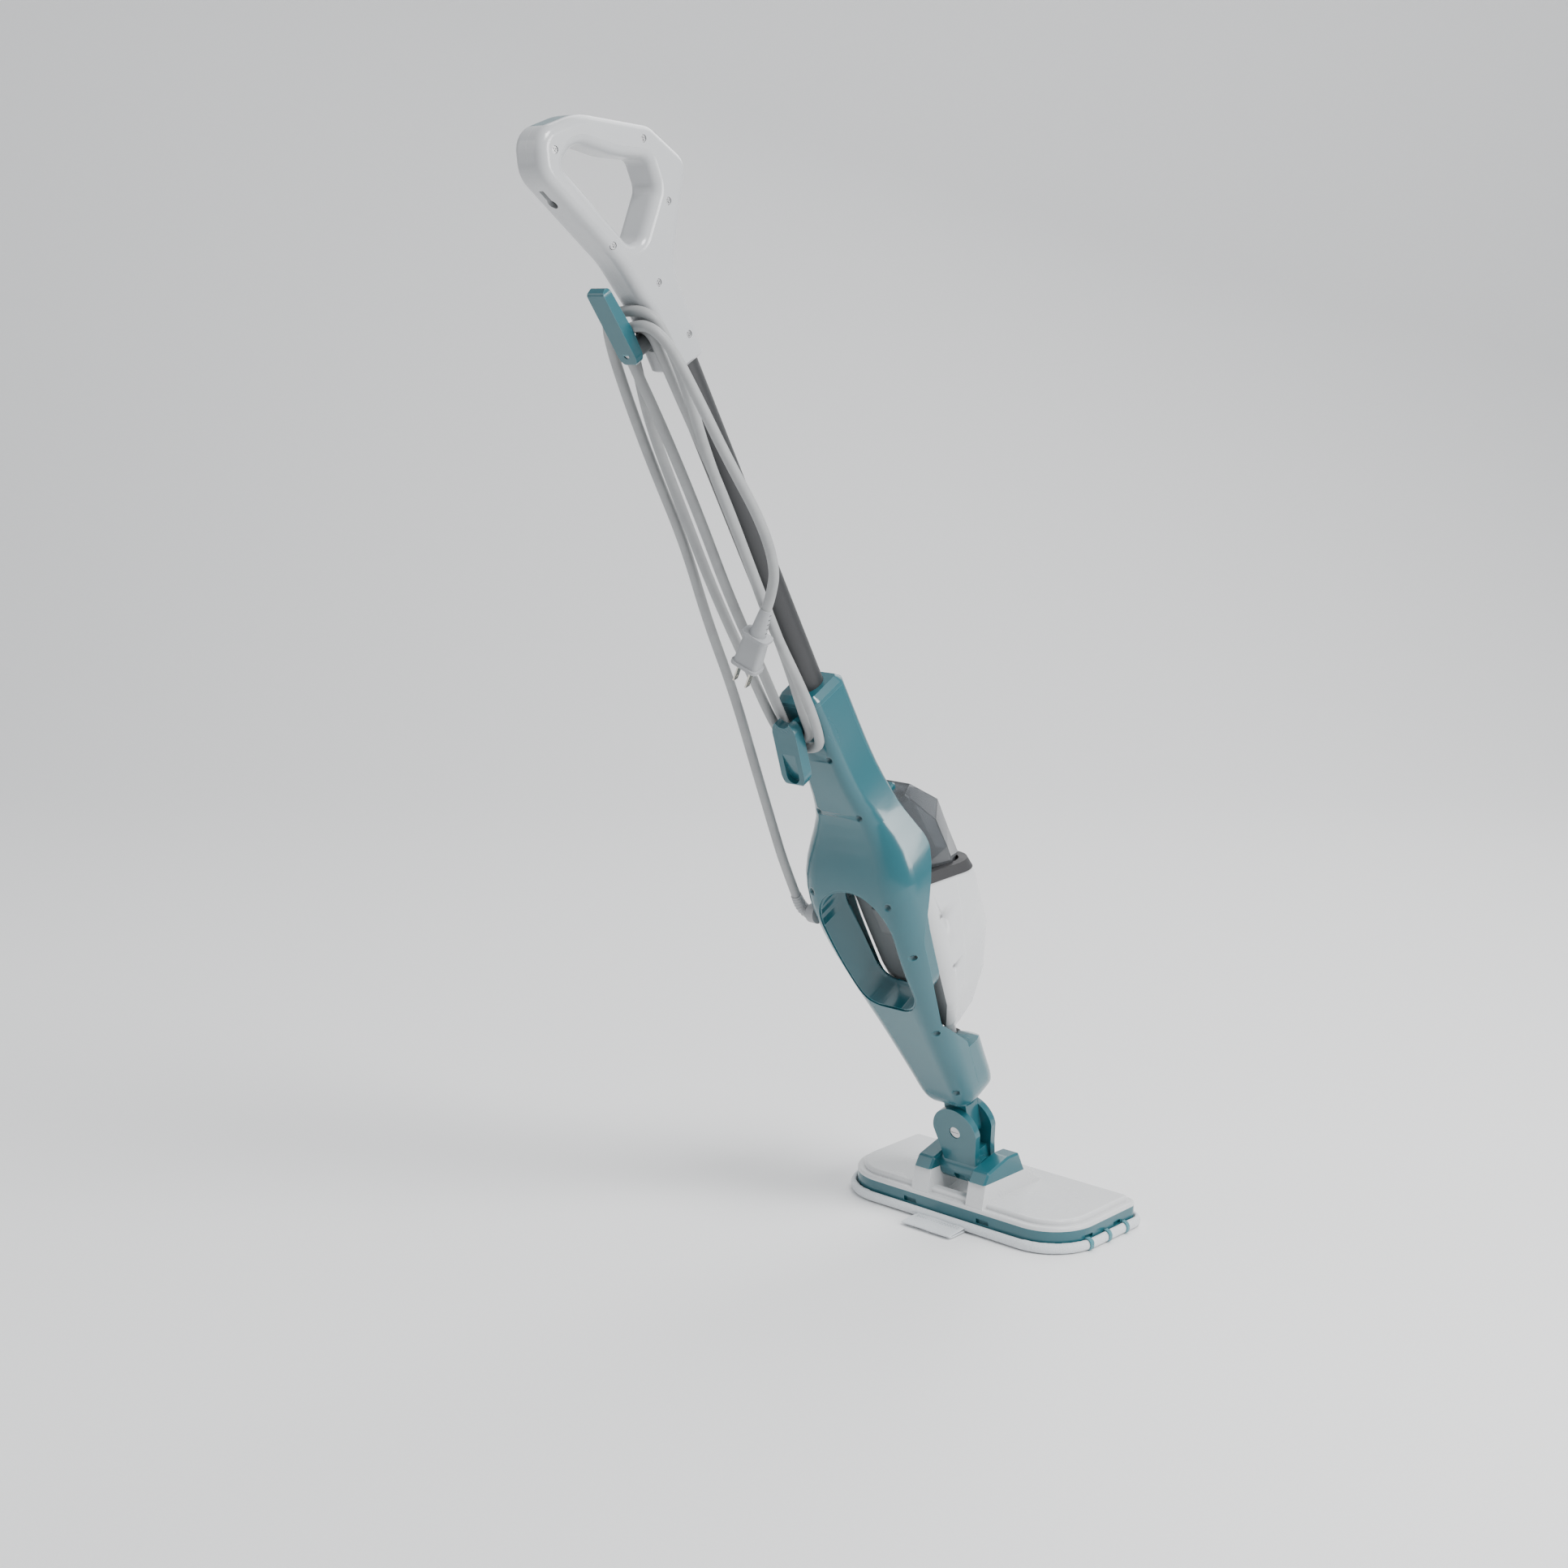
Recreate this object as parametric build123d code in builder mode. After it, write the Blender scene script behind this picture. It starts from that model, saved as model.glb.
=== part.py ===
from build123d import *
import os
from math import cos, pi, radians, sin, tan

# A steam mop in millimetres, leaning back as it is held in use.
# The origin is the middle of the pad's underside on the floor. X runs along the
# head, +Y points to the user at the rear, and +Z is up.
os.makedirs("parts", exist_ok=True)

# ---- overall sizes -----------------------------------------------------------
HEAD_LENGTH = 286.0        # floor head cover along X
HEAD_DEPTH = 130.0         # floor head cover along Y
REAR_CORNER = 50.0         # radius of the head's two rear corners
FRONT_CORNER = 12.0        # radius of its two front corners
PAD_THICKNESS = 8.7
PAD_BORDER = 6.0           # the rolled rim is a cord of this radius
PLAY = 0.3                 # gap between neighbouring mouldings

TILT_Y = 30.0              # tilt axis of the yoke on the head
TILT_Z = 52.0
YOKE_LEAN = 15.0           # degrees back from upright
POLE_LEAN = 29.0
POLE_OFFSET = 39.4         # the pole's axis passes this far in front of the tilt axis

POLE_WIDTH = 27.0
POLE_DEPTH = 30.0
POLE_WALL = 1.5
POLE_FOOT = 520.0          # lower end of the tube, from the tilt axis along the pole
NECK_TOP = 573.0           # top of the teal body
HANDLE_FOOT = 900.0        # lower edge of the handle's collar
HANDLE_TOP = 1128.0

WALL = 2.5                 # wall of the body mouldings
PART_FRONT = -15.0         # parting plane of the body's upper half, in front of the pole

# ---- frames ------------------------------------------------------------------
YOKE_FRAME = Plane(
    origin=(0, TILT_Y, TILT_Z),
    x_dir=(1, 0, 0),
    z_dir=(0, sin(radians(YOKE_LEAN)), cos(radians(YOKE_LEAN))),
)
POLE_FRAME = Plane(
    origin=(
        0,
        TILT_Y - POLE_OFFSET * cos(radians(POLE_LEAN)),
        TILT_Z + POLE_OFFSET * sin(radians(POLE_LEAN)),
    ),
    x_dir=(1, 0, 0),
    z_dir=(0, sin(radians(POLE_LEAN)), cos(radians(POLE_LEAN))),
)
HEAD_FRAME = Plane.XY


def save(part, name, frame=HEAD_FRAME):
    """Put a finished piece in its place and write it under its own name."""
    placed = frame.location * part
    placed.label = name
    export_step(placed, f"parts/{name}.step")
    return placed


# ==============================================================================
# FLOOR HEAD, in its own axes: x along it, y to the rear, z up
# ==============================================================================
BAND_BOTTOM = PAD_THICKNESS + PLAY
BAND_TOP = 22.0
RIM_TOP = 26.0
DECK_TOP = 31.0
CHEEK_INNER = 24.0         # half the gap the yoke's foot turns in
CHEEK_OUTER = CHEEK_INNER + 21.0
CHEEK_FOOT = 50.0          # height where the teal caps begin
TILT_PIN_RADIUS = 4.0
TILT_PIN_END = CHEEK_OUTER - 3.0


def head_outline(grow, rear_corner=REAR_CORNER, front_corner=FRONT_CORNER):
    """The head's plan: large corners at the rear, small ones in front."""
    half_x = HEAD_LENGTH / 2 + grow
    half_y = HEAD_DEPTH / 2 + grow
    rear = rear_corner + grow
    front = max(front_corner + grow, 2.0)
    with BuildSketch(mode=Mode.PRIVATE) as plan:
        with BuildLine():
            FilletPolyline(
                (-half_x, -half_y),
                (half_x, -half_y),
                (half_x, half_y),
                (-half_x, half_y),
                radius=[front, front, rear, rear],
                close=True,
            )
        make_face()
    return plan.sketch


# Microfibre pad: a flat cushion under the head with a rolled border round it.
with BuildPart() as pad:
    with BuildSketch():
        add(head_outline(1.0))
    extrude(amount=PAD_THICKNESS)
    fillet(pad.faces().sort_by(Axis.Z)[0].edges(), 2.0)

with BuildPart() as pad_border:
    with BuildSketch(Plane.XY):
        add(head_outline(2 * PAD_BORDER - 4.8))
    extrude(amount=2 * PAD_BORDER)
    fillet(pad_border.faces().filter_by(Axis.Z).edges(), PAD_BORDER - 0.2)
    with BuildSketch(Plane.XY):
        add(head_outline(1.0 + PLAY))
    extrude(amount=2 * PAD_BORDER, mode=Mode.SUBTRACT)

# Pull tab: a flat folded strip of cloth that sticks out behind the head.
TAB_WIDTH = 62.0
TAB_REACH = 26.0
with BuildPart() as pad_tab:
    with BuildSketch(Plane.YZ.offset(-TAB_WIDTH / 2)):
        with Locations((HEAD_DEPTH / 2 + 4.0, 1.0)):
            Rectangle(TAB_REACH + 4.0, 8.0, align=(Align.MIN, Align.MIN))
    extrude(amount=TAB_WIDTH)
    fillet(pad_tab.edges().filter_by(Axis.X).group_by(Axis.Y)[-1], 3.5)
    add(pad_border.part, mode=Mode.SUBTRACT)

# Three elastic loops hold the border at the end of the head.
LOOP_Y = (-36.0, -6.0, 24.0)
with BuildPart() as loop_slabs:
    with Locations(*[(-HEAD_LENGTH / 2, y, 0) for y in LOOP_Y]):
        Box(40.0, 5.0, 40.0)

with BuildPart() as pad_loops:
    with BuildSketch():
        add(head_outline(2 * PAD_BORDER - 3.7))
    extrude(amount=2 * PAD_BORDER + 1.0)
    fillet(pad_loops.faces().filter_by(Axis.Z).edges(), PAD_BORDER)
    with BuildSketch():
        add(head_outline(1.0 + PLAY))
    extrude(amount=2 * PAD_BORDER + 1.0, mode=Mode.SUBTRACT)
    add(pad_border.part, mode=Mode.SUBTRACT)
    add(loop_slabs.part, mode=Mode.INTERSECT)

# Teal base frame: the band seen round the side, open in the middle.
SLOT_X = (-46.0, 46.0)
HEAD_SCREWS = ((-34.5, -22.0), (34.5, -22.0), (-34.5, 50.0), (34.5, 50.0))
END_SLOT_Y = (-27.0, 20.0)
with BuildPart() as base_frame:
    with BuildSketch(Plane.XY.offset(BAND_BOTTOM)):
        add(head_outline(0.0))
    extrude(amount=BAND_TOP - BAND_BOTTOM)
    with BuildSketch(Plane.XY.offset(BAND_BOTTOM)):
        add(head_outline(-8.0))
    extrude(amount=6.0, mode=Mode.SUBTRACT)
    with BuildSketch(Plane.XY.offset(BAND_TOP - 4.0)):
        add(head_outline(-8.0))
    extrude(amount=4.0, mode=Mode.SUBTRACT)
    with Locations(*[(x, HEAD_DEPTH / 2, BAND_BOTTOM + 5.0) for x in SLOT_X]):
        Box(16.0, 6.0, 5.0, mode=Mode.SUBTRACT)
    with Locations(*[(-HEAD_LENGTH / 2, y, BAND_BOTTOM + 4.0) for y in END_SLOT_Y]):
        Box(6.0, 12.0, 4.0, mode=Mode.SUBTRACT)

    with Locations(*[(x, y, BAND_BOTTOM + 6.0) for x, y in HEAD_SCREWS]):
        Cylinder(3.6, 1.8, align=(Align.CENTER, Align.CENTER, Align.MIN), mode=Mode.SUBTRACT)
        Cylinder(2.0, 9.0, align=(Align.CENTER, Align.CENTER, Align.MIN), mode=Mode.SUBTRACT)

# Screws that hold the cover down on the frame, put in from below.
with BuildPart() as head_screws:
    with Locations(*[(x, y, BAND_BOTTOM + 6.1) for x, y in HEAD_SCREWS]):
        Cylinder(3.4, 1.6, align=(Align.CENTER, Align.CENTER, Align.MIN))
        Cylinder(1.8, 17.0, align=(Align.CENTER, Align.CENTER, Align.MIN))

# Steam plate under the frame, with rows of steam holes.
with BuildPart() as steam_plate:
    with BuildSketch(Plane.XY.offset(BAND_BOTTOM + 0.1)):
        add(head_outline(-8.0 - PLAY))
    extrude(amount=5.6)
    with GridLocations(40.0, 50.0, 6, 2):
        Cylinder(1.5, 60.0, mode=Mode.SUBTRACT)

# Seal in the groove between frame and cover.
with BuildPart() as head_seal:
    with BuildSketch(Plane.XY.offset(BAND_TOP - 4.0)):
        add(head_outline(-8.0 - PLAY))
        add(head_outline(-12.0), mode=Mode.SUBTRACT)
    extrude(amount=3.6)

# White cover: rim, raised deck, two ramps carrying the cheeks and a scoop between.
with BuildPart() as head_cover:
    with BuildSketch(Plane.XY.offset(BAND_TOP)):
        add(head_outline(0.0))
    extrude(amount=RIM_TOP - BAND_TOP)
    fillet(head_cover.faces().sort_by(Axis.Z)[-1].edges(), 2.6)
    with BuildSketch(Plane.XY.offset(RIM_TOP - 1.0)):
        add(head_outline(-7.0))
    extrude(amount=DECK_TOP - RIM_TOP + 1.0)
    fillet(head_cover.faces().sort_by(Axis.Z)[-1].edges(), 3.0)
    for side in (-1, 1):
        with BuildSketch(Plane.YZ.offset(side * (CHEEK_INNER + CHEEK_OUTER) / 2)):
            with BuildLine():
                Polyline(
                    (-34.0, BAND_TOP),
                    (-34.0, DECK_TOP),
                    (-6.0, CHEEK_FOOT),
                    (59.0, CHEEK_FOOT),
                    (64.0, DECK_TOP - 4.0),
                    (64.0, BAND_TOP),
                    close=True,
                )
            make_face()
        extrude(amount=(CHEEK_OUTER - CHEEK_INNER) / 2, both=True)
    with Locations((0, TILT_Y, TILT_Z)):
        Cylinder(28.0, 2 * CHEEK_INNER, rotation=(0, 90, 0), mode=Mode.SUBTRACT)
    with Locations((0, TILT_Y + 40, TILT_Z)):
        Box(2 * CHEEK_INNER, 80, 40, mode=Mode.SUBTRACT)
    with Locations((0, TILT_Y, TILT_Z)):
        Cylinder(TILT_PIN_RADIUS, 2 * TILT_PIN_END, rotation=(0, 90, 0), mode=Mode.SUBTRACT)
    with BuildSketch(Plane.XY.offset(BAND_TOP)):
        Rectangle(HEAD_LENGTH - 26.0, HEAD_DEPTH - 58.0)
        Rectangle(2 * CHEEK_OUTER + 32.0, HEAD_DEPTH, mode=Mode.SUBTRACT)
    extrude(amount=DECK_TOP - BAND_TOP - WALL, mode=Mode.SUBTRACT)
    with Locations(*[(x, y, BAND_TOP) for x, y in HEAD_SCREWS]):
        Cylinder(1.8, 24.0, mode=Mode.SUBTRACT)


def cheek_cap(side):
    """Teal cap on top of one ramp; its top rises towards the front."""
    with BuildPart() as cap:
        with BuildSketch(Plane.YZ.offset(side * (CHEEK_INNER + CHEEK_OUTER) / 2)):
            with BuildLine():
                FilletPolyline(
                    (-6.0, CHEEK_FOOT + 0.1),
                    (4.0, 70.0),
                    (22.0, 70.0),
                    (54.0, 61.0),
                    (61.0, CHEEK_FOOT + 0.1),
                    radius=[4.0, 10.0, 5.0],
                )
                Line((61.0, CHEEK_FOOT + 0.1), (-6.0, CHEEK_FOOT + 0.1))
            make_face()
        extrude(amount=(CHEEK_OUTER - CHEEK_INNER) / 2, both=True)
        chamfer(cap.edges().filter_by(Axis.X, reverse=True).group_by(Axis.Z)[-1], 2.0)
        with Locations((0, TILT_Y, TILT_Z)):
            Cylinder(TILT_PIN_RADIUS, 2 * TILT_PIN_END, rotation=(0, 90, 0), mode=Mode.SUBTRACT)
    return cap.part


with BuildPart() as tilt_pins:
    for side in (-1, 1):
        with Locations((side * (TILT_PIN_END - 14.0), TILT_Y, TILT_Z)):
            Cylinder(TILT_PIN_RADIUS, 28.0, rotation=(0, 90, 0))

save(pad.part, "pad")
save(pad_border.part, "pad_border")
save(pad_tab.part, "pad_tab")
save(pad_loops.part, "pad_loops")
save(base_frame.part, "base_frame")
save(steam_plate.part, "steam_plate")
save(head_seal.part, "head_seal")
save(head_screws.part, "head_screws")
save(head_cover.part, "head_cover")
save(cheek_cap(-1), "cheek_cap_right")
save(cheek_cap(1), "cheek_cap_left")
save(tilt_pins.part, "tilt_pins")

# ==============================================================================
# YOKE, in its own frame: x along the tilt axis, z up the yoke, y to the rear
# ==============================================================================
YOKE_HALF = 27.0           # half width of the two cheeks at the swivel pin
SWIVEL_Z = 45.0
REAR_CHEEK = (4.0, 11.0)   # y from, to
FRONT_CHEEK = (-22.0, -15.0)
FOOT_RADIUS = 15.0
SWIVEL_PIN_RADIUS = 4.0
NECK_FRONT = FRONT_CHEEK[1] + PLAY
NECK_REAR = REAR_CHEEK[0] - PLAY
NECK_HALF = 14.0

with BuildPart() as yoke:
    Cylinder(FOOT_RADIUS, 2 * (CHEEK_INNER - PLAY), rotation=(0, 90, 0))
    for y_from, y_to in (REAR_CHEEK, FRONT_CHEEK):
        with BuildSketch(Plane.XZ.offset(-y_from)):
            with BuildLine():
                Polyline(
                    (-YOKE_HALF, SWIVEL_Z),
                    (-22.0, 24.0),
                    (-17.0, -6.0),
                    (17.0, -6.0),
                    (22.0, 24.0),
                    (YOKE_HALF, SWIVEL_Z),
                )
                RadiusArc((YOKE_HALF, SWIVEL_Z), (-YOKE_HALF, SWIVEL_Z), -YOKE_HALF)
            make_face()
        extrude(amount=y_from - y_to)
    with Locations((0, (FRONT_CHEEK[1] + REAR_CHEEK[0]) / 2, 12.0)):
        Box(34.0, REAR_CHEEK[0] - FRONT_CHEEK[1] + 1.0, 20.0)
    with Locations((0, (FRONT_CHEEK[0] + REAR_CHEEK[1]) / 2, SWIVEL_Z)):
        Cylinder(SWIVEL_PIN_RADIUS + 0.05, 60.0, rotation=(90, 0, 0), mode=Mode.SUBTRACT)
    Cylinder(TILT_PIN_RADIUS + 0.05, 3 * CHEEK_OUTER, rotation=(0, 90, 0), mode=Mode.SUBTRACT)
    with Locations((0, 14.0, -8.0)):
        Box(13.0, 10.0, 14.0, mode=Mode.SUBTRACT)
    with Locations((0, REAR_CHEEK[1], SWIVEL_Z)):
        Cylinder(6.5, 4.0, rotation=(90, 0, 0), mode=Mode.SUBTRACT)

with BuildPart() as swivel_pin:
    with Locations((0, (FRONT_CHEEK[0] + REAR_CHEEK[1] - 1.0) / 2, SWIVEL_Z)):
        Cylinder(SWIVEL_PIN_RADIUS, REAR_CHEEK[1] - FRONT_CHEEK[0] - 3.0, rotation=(90, 0, 0))
    with Locations((0, REAR_CHEEK[1] - 1.4, SWIVEL_Z)):
        Cylinder(6.0, 1.2, rotation=(90, 0, 0))
    with Locations((0, REAR_CHEEK[1] - 0.8, SWIVEL_Z)):
        Box(9.0, 1.2, 1.6, mode=Mode.SUBTRACT)

# The neck web is part of the body; it turns between the cheeks about the pin.
NECK_LENGTH = 44.0         # from the swivel pin up into the body
with BuildPart() as neck:
    with BuildSketch(Plane.XZ.offset(-NECK_FRONT)):
        with BuildLine():
            Polyline(
                (-NECK_HALF, SWIVEL_Z),
                (-NECK_HALF, SWIVEL_Z + NECK_LENGTH),
                (NECK_HALF, SWIVEL_Z + NECK_LENGTH),
                (NECK_HALF, SWIVEL_Z),
            )
            RadiusArc((NECK_HALF, SWIVEL_Z), (-NECK_HALF, SWIVEL_Z), NECK_HALF)
        make_face()
    extrude(amount=NECK_FRONT - NECK_REAR)
    with Locations((0, (NECK_FRONT + NECK_REAR) / 2, SWIVEL_Z)):
        Cylinder(SWIVEL_PIN_RADIUS + 0.05, 60.0, rotation=(90, 0, 0), mode=Mode.SUBTRACT)
    with Locations((0, (NECK_FRONT + NECK_REAR) / 2, SWIVEL_Z + 24.0)):
        Cylinder(3.2, 44.0, mode=Mode.SUBTRACT)

with BuildPart() as neck_socket:
    with Locations((0, (NECK_FRONT + NECK_REAR) / 2, SWIVEL_Z + 14.0)):
        Box(2 * NECK_HALF + 0.2, NECK_REAR - NECK_FRONT + 0.2, NECK_LENGTH - 13.9,
            align=(Align.CENTER, Align.CENTER, Align.MIN))
NECK_SOCKET = POLE_FRAME.location.inverse() * YOKE_FRAME.location * neck_socket.part

save(yoke.part, "yoke", YOKE_FRAME)
save(swivel_pin.part, "swivel_pin", YOKE_FRAME)
save(neck.part, "neck", YOKE_FRAME)

# ==============================================================================
# TEAL BODY, in the pole's frame: z up the pole, y to the rear
# ==============================================================================
# Each section of the body: height, half width, rear surface, corner radius.
BODY_SECTIONS = (
    (78.0, 22.0, 30.0, 11.0),
    (85.0, 28.0, 36.0, 15.0),
    (96.0, 32.0, 39.5, 18.0),
    (120.0, 35.0, 42.0, 20.0),
    (190.0, 44.0, 49.0, 24.0),
    (250.0, 53.0, 55.0, 26.0),
    (300.0, 62.0, 57.0, 27.0),
    (345.0, 66.0, 55.0, 27.0),
    (378.0, 64.0, 47.0, 27.0),
    (405.0, 54.0, 33.0, 22.0),
    (432.0, 40.0, 25.0, 17.0),
    (480.0, 28.0, 25.0, 12.0),
    (NECK_TOP - 9.0, 24.0, 24.0, 9.0),
)
BODY_STEPS = 44            # slices the body is lofted through, closer together at the bottom
BODY_FRONT = -24.0         # front face of the upper neck


def body_section(height):
    """Half width, rear surface and corner radius on a smooth curve through the table."""
    last = len(BODY_SECTIONS) - 2
    row = max(k for k in range(last + 1) if BODY_SECTIONS[k][0] <= height + 1e-6)
    low, high = BODY_SECTIONS[row], BODY_SECTIONS[row + 1]
    before = BODY_SECTIONS[max(row - 1, 0)]
    after = BODY_SECTIONS[min(row + 2, last + 1)]
    span = high[0] - low[0]
    t = (height - low[0]) / span
    values = []
    for k in (1, 2, 3):
        slope_low = (high[k] - before[k]) / (high[0] - before[0])
        slope_high = (after[k] - low[k]) / (after[0] - low[0])
        values.append(
            (2 * t**3 - 3 * t**2 + 1) * low[k]
            + (t**3 - 2 * t**2 + t) * span * slope_low
            + (3 * t**2 - 2 * t**3) * high[k]
            + (t**3 - t**2) * span * slope_high
        )
    return values


def body_volume(inset, front):
    """Loft of the rounded sections, made smaller all round by the inset."""
    bottom = BODY_SECTIONS[0][0]
    height = BODY_SECTIONS[-1][0] - bottom
    with BuildPart() as volume:
        for step in range(BODY_STEPS + 1):
            z = bottom + height * (step / BODY_STEPS) ** 1.4
            half, rear, corner = body_section(z)
            depth = rear - inset - front
            with BuildSketch(Plane.XY.offset(z)):
                with Locations((0, front + depth / 2)):
                    RectangleRounded(2 * (half - inset), depth, corner - inset)
        loft(ruled=True)
    return volume.part


def side_region(points, radii):
    """Everything on the front side of the parting line, as a cutter across X."""
    with BuildPart() as region:
        with BuildSketch(Plane.YZ):
            with BuildLine():
                line = FilletPolyline(*points, radius=radii)
                Polyline(line @ 1, (-140.0, points[-1][1]), (-140.0, points[0][1]), line @ 0)
            make_face()
        extrude(amount=120.0, both=True)
    return region.part


# The parting line in side view: in front of the pole at the neck, swept back
# round the hand steamer, then forward again over the dock at the bottom.
PARTING = (
    (14.0, 60.0),
    (14.0, 160.0),
    (39.0, 205.0),
    (39.0, 318.0),
    (PART_FRONT, 392.0),
    (PART_FRONT, 600.0),
)
PARTING_RADII = [10.0, 14.0, 40.0, 30.0]
PARTING_CUT = side_region(PARTING, PARTING_RADII)

WINDOW_FOOT_HALF = 27.0     # half width at the bottom and at the top
WINDOW_HEAD_HALF = 40.0
WINDOW_BOTTOM = 236.0
WINDOW_TOP = 362.0
LIP_WIDTH = 9.0            # the surround's width round the clear opening


def window_sketch(grow):
    """The window: a rounded opening, a little narrower at its lower end."""
    with BuildSketch(mode=Mode.PRIVATE) as opening:
        with BuildLine():
            FilletPolyline(
                (-WINDOW_FOOT_HALF - grow, WINDOW_BOTTOM - grow),
                (WINDOW_FOOT_HALF + grow, WINDOW_BOTTOM - grow),
                (WINDOW_HEAD_HALF + grow, WINDOW_TOP + grow),
                (-WINDOW_HEAD_HALF - grow, WINDOW_TOP + grow),
                radius=[18.0 + grow, 18.0 + grow, 34.0 + grow, 34.0 + grow],
                close=True,
            )
        make_face()
    return opening.sketch


BODY_OUTER = body_volume(0.0, -60.0)
with BuildPart() as above_floor:
    with Locations((0, 0, BODY_SECTIONS[0][0] + WALL)):
        Box(400, 400, 700, align=(Align.CENTER, Align.CENTER, Align.MIN))
BODY_INNER = body_volume(WALL, -70.0) & above_floor.part

SHELL_SCREWS = (
    (-17.0, 545.0),
    (-16.0, 508.0),
    (-24.0, 442.0),
    (24.0, 442.0),
    (-46.0, 362.0),
    (46.0, 362.0),
    (-53.0, 302.0),
    (53.0, 302.0),
    (-36.0, 196.0),
    (36.0, 196.0),
    (-24.0, 108.0),
)
SCREW_HOLE_RADIUS = 3.2
SCREW_DEPTH = 12.0         # from the rear surface down to the screw's head
BOSS_RADIUS = 4.6
POLE_RIBS = (524.0, NECK_TOP - 16.0)   # heights of the plates that hold the pole
RIB_THICKNESS = 4.0


def pole_bore(height, grow, length):
    """The pole's oval, used to cut the tube's seat."""
    with BuildPart(mode=Mode.PRIVATE) as bore:
        with BuildSketch(Plane.XY.offset(height)):
            Ellipse(POLE_WIDTH / 2 + grow, POLE_DEPTH / 2 + grow)
        extrude(amount=length)
    return bore.part


with BuildPart() as screw_bosses:
    for x, z in SHELL_SCREWS:
        with Locations((x, body_section(z)[1] + 1.0, z)):
            Cylinder(BOSS_RADIUS, SCREW_DEPTH + 7.0, rotation=(90, 0, 0),
                     align=(Align.CENTER, Align.CENTER, Align.MIN))
    add(BODY_OUTER, mode=Mode.INTERSECT)

with BuildPart() as screw_bores:
    for x, z in SHELL_SCREWS:
        with Locations((x, body_section(z)[1] - SCREW_DEPTH - 1.3, z)):
            Cylinder(SCREW_HOLE_RADIUS, 40.0, rotation=(-90, 0, 0),
                     align=(Align.CENTER, Align.CENTER, Align.MIN))
            Cylinder(1.5, 10.0, rotation=(90, 0, 0), align=(Align.CENTER, Align.CENTER, Align.MIN))

with BuildPart() as pole_ribs:
    with Locations(*[(0, 0, z) for z in POLE_RIBS]):
        Box(100, 100, RIB_THICKNESS, align=(Align.CENTER, Align.CENTER, Align.MIN))
    add(pole_bore(POLE_FOOT, 0.1, 60.0), mode=Mode.SUBTRACT)
    add(body_volume(WALL - 0.5, BODY_FRONT + WALL - 0.5), mode=Mode.INTERSECT)

with BuildPart() as rear_shell:
    add(BODY_OUTER)
    add(BODY_INNER, mode=Mode.SUBTRACT)
    add(screw_bosses.part)
    add(pole_ribs.part)
    add(PARTING_CUT, mode=Mode.SUBTRACT)
    with BuildSketch(Plane.XZ.offset(-30.0)):
        add(window_sketch(LIP_WIDTH))
    extrude(amount=-60.0, mode=Mode.SUBTRACT)
    add(screw_bores.part, mode=Mode.SUBTRACT)
    add(NECK_SOCKET, mode=Mode.SUBTRACT)

# Release button on the neck's front cover, above the tank.
BUTTON_Z = 486.0
BUTTON_WIDTH = 18.0
BUTTON_HEIGHT = 26.0
BUTTON_TRAVEL = 3.0
with BuildPart() as release_button:
    with Locations((0, BODY_FRONT - BUTTON_TRAVEL, BUTTON_Z)):
        Box(BUTTON_WIDTH, 6.5, BUTTON_HEIGHT, align=(Align.CENTER, Align.MIN, Align.CENTER))
        fillet(release_button.faces().sort_by(Axis.Y)[0].edges(), 2.0)

# Front cover of the upper neck, closing the rear shell round the pole.
with BuildPart() as front_shell:
    add(body_volume(0.0, BODY_FRONT))
    add(body_volume(WALL, BODY_FRONT + WALL), mode=Mode.SUBTRACT)
    add(pole_ribs.part)
    with BuildSketch(Plane.YZ):
        with Locations((PART_FRONT - 0.2, 395.0)):
            Rectangle(100, 200, align=(Align.MAX, Align.MIN))
    extrude(amount=100, both=True, mode=Mode.INTERSECT)
    with Locations((0, BODY_FRONT, BUTTON_Z)):
        Box(BUTTON_WIDTH + 0.6, 12.0, BUTTON_HEIGHT + 0.6, mode=Mode.SUBTRACT)

# Dock at the bottom: the front half the steamer's nozzle plugs down into.
DOCK_FRONT = -17.0
DOCK_TOP = 148.0
DOCK_PORT_Y = -4.0
with BuildPart() as dock:
    add(body_volume(0.0, DOCK_FRONT))
    with BuildSketch(Plane.YZ):
        with BuildLine():
            FilletPolyline(
                (13.8, 70.0),
                (DOCK_FRONT - 4.0, 70.0),
                (DOCK_FRONT - 4.0, DOCK_TOP - 14.0),
                (DOCK_FRONT + 10.0, DOCK_TOP),
                (13.8, DOCK_TOP + 4.0),
                radius=[12.0, 4.0, 4.0],
                close=False,
            )
            Line((13.8, DOCK_TOP + 4.0), (13.8, 70.0))
        make_face()
    extrude(amount=100, both=True, mode=Mode.INTERSECT)
    with Locations((0, DOCK_PORT_Y, DOCK_TOP - 20.0)):
        Cylinder(11.0, 60.0, align=(Align.CENTER, Align.CENTER, Align.MIN), mode=Mode.SUBTRACT)
        Box(22.0, 60.0, 60.0, align=(Align.CENTER, Align.MAX, Align.MIN), mode=Mode.SUBTRACT)
    with Locations((0, DOCK_PORT_Y, 94.0)):
        Cylinder(3.5, 60.0, align=(Align.CENTER, Align.CENTER, Align.MIN), mode=Mode.SUBTRACT)
    with BuildSketch(Plane(origin=(0, DOCK_PORT_Y, 97.0), z_dir=(0, 16.5, -12.0))):
        Circle(3.5)
    extrude(amount=18.0, mode=Mode.SUBTRACT)
    add(NECK_SOCKET, mode=Mode.SUBTRACT)

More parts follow.
